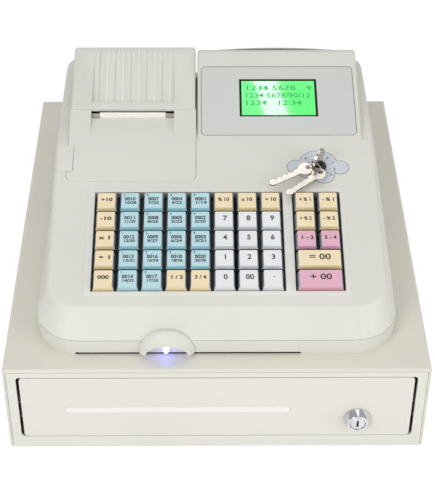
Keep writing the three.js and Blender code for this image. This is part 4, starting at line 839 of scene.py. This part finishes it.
# mode label, ring and lamp
modeLabel = {
    "lobes": [
        (66.6, -25.3, 6.9, 7.2), (85.3, -22.3, 16.0, 14.2), (103.6, -25.7, 7.1, 6.9), (89.4, -33.2, 9.2, 8.8),
        (79.0, -29.0, 11.0, 8.0)],
    "lineWidth": 0.4, "line": 0.07, "film": 0.13,
    "numbers": [
        ("0", 93.5, -15.6), ("1", 97.8, -21.0), ("2", 98.8, -27.6), ("3", 95.6, -33.6), ("4", 75.0, -16.0),
        ("5", 71.8, -24.0)],
    "numberSize": 3.4, "tickSize": 5, "low": -0.05,
    "ticks": [(91.6, -18.4), (94.8, -22.6), (95.4, -27.2), (92.8, -31.6)],
}


def lobedPlate(name, grow, height):
    plates = [
        addDisc(name, x, v, modeLabel["low"], height, across + grow, up + grow)
        for x, v, across, up in modeLabel["lobes"]]
    plate = plates[0]
    for other in plates[1:]:
        takeUp(plate)
        union = plate.modifiers.new("union", "BOOLEAN")
        union.operation = "UNION"
        union.solver = "EXACT"
        union.object = other
        bpy.ops.object.modifier_apply(modifier=union.name)
        bpy.data.objects.remove(other)
    return plate


labelLine = lobedPlate("labelLine", modeLabel["lineWidth"], modeLabel["line"])
giveFinish(labelLine, finishes["outline"])
labelFilm = lobedPlate("modeLabel", 0, modeLabel["film"])
giveFinish(labelFilm, finishes["label"])
labelPrint = [(text, modeLabel["numberSize"], x, v) for text, x, v in modeLabel["numbers"]]
labelPrint += [("·", modeLabel["tickSize"], x, v) for x, v in modeLabel["ticks"]]
labelMarks = [addMark(*mark, modeLabel["film"], finishes["outline"]) for mark in labelPrint]
joinInto(labelFilm, [labelLine] + labelMarks)
settle(labelFilm, panelTurn)
seat(labelFilm, "register", "window_plastic")

# split ring: a round wire wound nearly twice
splitRing = {
    "x": 81.26, "v": -33.84, "w": 7.5, "swing": 78, "lean": 55,
    "radius": 5.5, "wire": 0.3, "turns": 1.85, "pitch": 2.05, "steps": 84,
}
swing, lean = math.radians(splitRing["swing"]), math.radians(splitRing["lean"])
out = Vector((-math.cos(swing), -math.sin(swing), 0))
across = Vector((-math.sin(swing), math.cos(swing), 0))
hang = out * math.cos(lean) + Vector((0, 0, -math.sin(lean)))
ringTurn = Matrix((across, hang, across.cross(hang))).transposed().to_4x4()
ringTurn.translation = Vector((splitRing["x"], splitRing["v"], splitRing["w"])) * mm
clearSelection()
bpy.ops.mesh.primitive_circle_add(
    vertices=12, radius=splitRing["wire"] * mm, fill_type="NGON", rotation=(math.pi / 2, 0, 0),
    location=(splitRing["radius"] * mm, 0, -splitRing["wire"] * splitRing["turns"] * mm))
keyRing = settle(bpy.context.object)
keyRing.name = "keyRing"
winding = keyRing.modifiers.new("winding", "SCREW")
winding.angle = math.radians(360 * splitRing["turns"])
winding.screw_offset = splitRing["pitch"] * splitRing["wire"] * splitRing["turns"] * mm
winding.steps = splitRing["steps"]
winding.render_steps = splitRing["steps"]
winding.iterations = 1
winding.axis = "Z"
winding.use_merge_vertices = False
bpy.ops.object.modifier_apply(modifier=winding.name)
editAll(keyRing)
bpy.ops.mesh.select_all(action="DESELECT")
bpy.ops.mesh.select_mode(type="EDGE")
bpy.ops.mesh.select_non_manifold()
bpy.ops.mesh.edge_face_add()
doneEditing()
outwards(keyRing)
shadeSmooth(keyRing, 50)
giveFinish(keyRing, finishes["nickel"])
settle(keyRing, panelTurn @ ringTurn)
seat(keyRing, "mode_key_set", "key_nickel", "key_ring")

refinedCopy("lamp", "lampLens", "register", finishes["lens"], "lamp_lens", 0.15)

# guide that the paper runs over, seen at both ends of the slot
guide = {
    "left": -105.9, "right": -35.6, "front": 33.7, "back": 35.7, "low": -7.4, "high": -2.6,
    "foot": (0, 0.6, -1.6), "thick": 0.3,
}
paperGuide = addLeaningSheet("paperGuide", guide)
pickEdges(paperGuide, lambda a, b: max(a.z, b.z) < guide["low"] + 0.1)
extrudeTo(guide["foot"])
doneEditing()
thicken(paperGuide, guide["thick"])
outwards(paperGuide)
giveFinish(paperGuide, finishes["tub"])
settle(paperGuide, panelTurn)
seat(paperGuide, "cover", "dark_plastic")

# torn end of the receipt: a thin sheet that leans back against the lid's front edge
receipt = {
    "left": -98.95, "right": -42.55, "front": 33.0, "back": 35.3, "low": -7.2, "high": -1.9, "thick": 0.2,
    "steps": [(0.2, 0.45), (0.05, 0.3), (-0.1, 0.2)],
}
receiptEnd = addLeaningSheet("receiptEnd", receipt)
pickEdges(receiptEnd, lambda a, b: min(a.z, b.z) > receipt["high"] - 0.1)
for back, up in receipt["steps"]:
    extrudeTo((0, back, up))
doneEditing()
outwards(receiptEnd)
thicken(receiptEnd, receipt["thick"])
shadeSmooth(receiptEnd, 50)
giveFinish(receiptEnd, finishes["paper"])
settle(receiptEnd, panelTurn)
seat(receiptEnd, "cover", "receipt_paper", "paper_end")
print("label, ring, lamp and paper done")


def addUp(tree, first, second):
    total = tree.nodes.new("ShaderNodeMath")
    total.operation = "ADD"
    total.use_clamp = True
    tree.links.new(first, total.inputs[0])
    tree.links.new(second, total.inputs[1])
    return total.outputs[0]


# the floor shows white to the camera and in reflections, and keeps part of the shadow
def paleGround(name, colour, keep, brightness):
    finish, tree, shader, places = startFinish(name, 0.9)
    betweenTones(tree, grain(tree, places, 3, 2), nearly(colour, 0.995), colour, shader.inputs["Base Color"])
    path = tree.nodes.new("ShaderNodeLightPath")
    seen = addUp(tree, path.outputs["Is Camera Ray"], path.outputs["Is Glossy Ray"])
    through = addUp(tree, seen, path.outputs["Is Transmission Ray"])
    part = tree.nodes.new("ShaderNodeMath")
    part.operation = "MULTIPLY"
    part.inputs[1].default_value = 1 - keep
    tree.links.new(through, part.inputs[0])
    glow = tree.nodes.new("ShaderNodeEmission")
    glow.inputs["Color"].default_value = (1, 1, 1, 1)
    glow.inputs["Strength"].default_value = brightness
    mix = tree.nodes.new("ShaderNodeMixShader")
    tree.links.new(part.outputs[0], mix.inputs[0])
    tree.links.new(shader.outputs[0], mix.inputs[1])
    tree.links.new(glow.outputs[0], mix.inputs[2])
    tree.links.new(mix.outputs[0], tree.nodes["Material Output"].inputs["Surface"])
    return finish


clearSelection()
studio = {"floorSize": 8, "floorLevel": -0.2, "shadow": 0.3, "floorGlow": 1.18, "fill": 0.45}
bpy.ops.mesh.primitive_plane_add(size=studio["floorSize"], location=(0, 0, studio["floorLevel"] * mm))
ground = settle(bpy.context.object)
ground.name = "ground"
giveFinish(ground, paleGround("studio_floor", tone(243, 243, 242), studio["shadow"], studio["floorGlow"]))

world = bpy.data.worlds.new("studio")
scene.world = world
world.use_nodes = True
sky = world.node_tree
backdrop = sky.nodes["Background"]
backdrop.inputs["Color"].default_value = (1, 1, 1, 1)
skyPath = sky.nodes.new("ShaderNodeLightPath")
skySeen = addUp(sky, skyPath.outputs["Is Camera Ray"], skyPath.outputs["Is Transmission Ray"])
skyLevel = sky.nodes.new("ShaderNodeMapRange")
skyLevel.inputs["To Min"].default_value = studio["fill"]
skyLevel.inputs["To Max"].default_value = 1.0
sky.links.new(skySeen, skyLevel.inputs["Value"])
sky.links.new(skyLevel.outputs["Result"], backdrop.inputs["Strength"])


def addLamp(name, at, size, power):
    light = bpy.data.lights.new(name, "AREA")
    light.shape = "RECTANGLE"
    light.size, light.size_y = size
    light.energy = power
    lamp = bpy.data.objects.new(name, light)
    scene.collection.objects.link(lamp)
    lamp.location = at
    return lamp


lamps = [  # name, place in metres, width and height, power, what it looks at
    ("keySoftbox", (-0.9, -1.5, 1.15), (0.9, 0.9), 15.5, (0, 0, 0.1)),
    ("fillSoftbox", (1.5, -1.1, 0.8), (1.2, 1.2), 11.0, (0, 0, 0.1)),
    ("topSoftbox", (0.1, 0.3, 1.9), (1.4, 1.4), 6.0, (0, 0, 0.1)),
]
for name, at, size, power, aim in lamps:
    lamp = addLamp(name, at, size, power)
    lamp.rotation_mode = "QUATERNION"
    lamp.rotation_quaternion = (Vector(aim) - Vector(at)).to_track_quat("-Z", "Y")

# a narrow strip lamp that shows as a slanting glare on the display's glass
strip = {
    "at": (0.1196, 0.736, 1.6), "size": (0.045, 0.16), "power": 0.3, "aim": (0.0545, 0.052, 0.184),
    "leftBottom": (0.1095, 0.6885, 1.6), "leftTop": (0.0848, 0.7694, 1.6),
}
stripLamp = addLamp("stripLamp", strip["at"], strip["size"], strip["power"])
facing = (Vector(strip["at"]) - Vector(strip["aim"])).normalized()
lengthwise = (Vector(strip["leftTop"]) - Vector(strip["leftBottom"])).normalized()
sideways = lengthwise.cross(facing).normalized()
stripTurn = Matrix((sideways, facing.cross(sideways), facing)).transposed().to_4x4()
stripTurn.translation = strip["at"]
stripLamp.matrix_world = stripTurn

# the camera stands where the photograph was taken from
view = {
    "pitch": 39.1572, "yaw": 0.70755, "roll": 0.30608, "place": (-0.010055, -0.982937, 0.861453),
    "lens": 103.67, "sensor": 36,
}
down, side, tilt = (math.radians(view[k]) for k in ("pitch", "yaw", "roll"))
ahead = Vector((math.sin(side) * math.cos(down), math.cos(side) * math.cos(down), -math.sin(down)))
level = Vector((math.cos(side), -math.sin(side), 0))
upright = level.cross(ahead)
right = level * math.cos(tilt) + upright * math.sin(tilt)
top = upright * math.cos(tilt) - level * math.sin(tilt)
camera = bpy.data.objects.new("camera", bpy.data.cameras.new("camera"))
scene.collection.objects.link(camera)
camera.data.lens = view["lens"]
camera.data.sensor_width = view["sensor"]
camera.data.clip_start = 0.05
camera.data.clip_end = 20
turned = Matrix((right, top, -ahead)).transposed().to_4x4()
turned.translation = view["place"]
camera.matrix_world = turned
scene.camera = camera
print("floor, light and camera set")
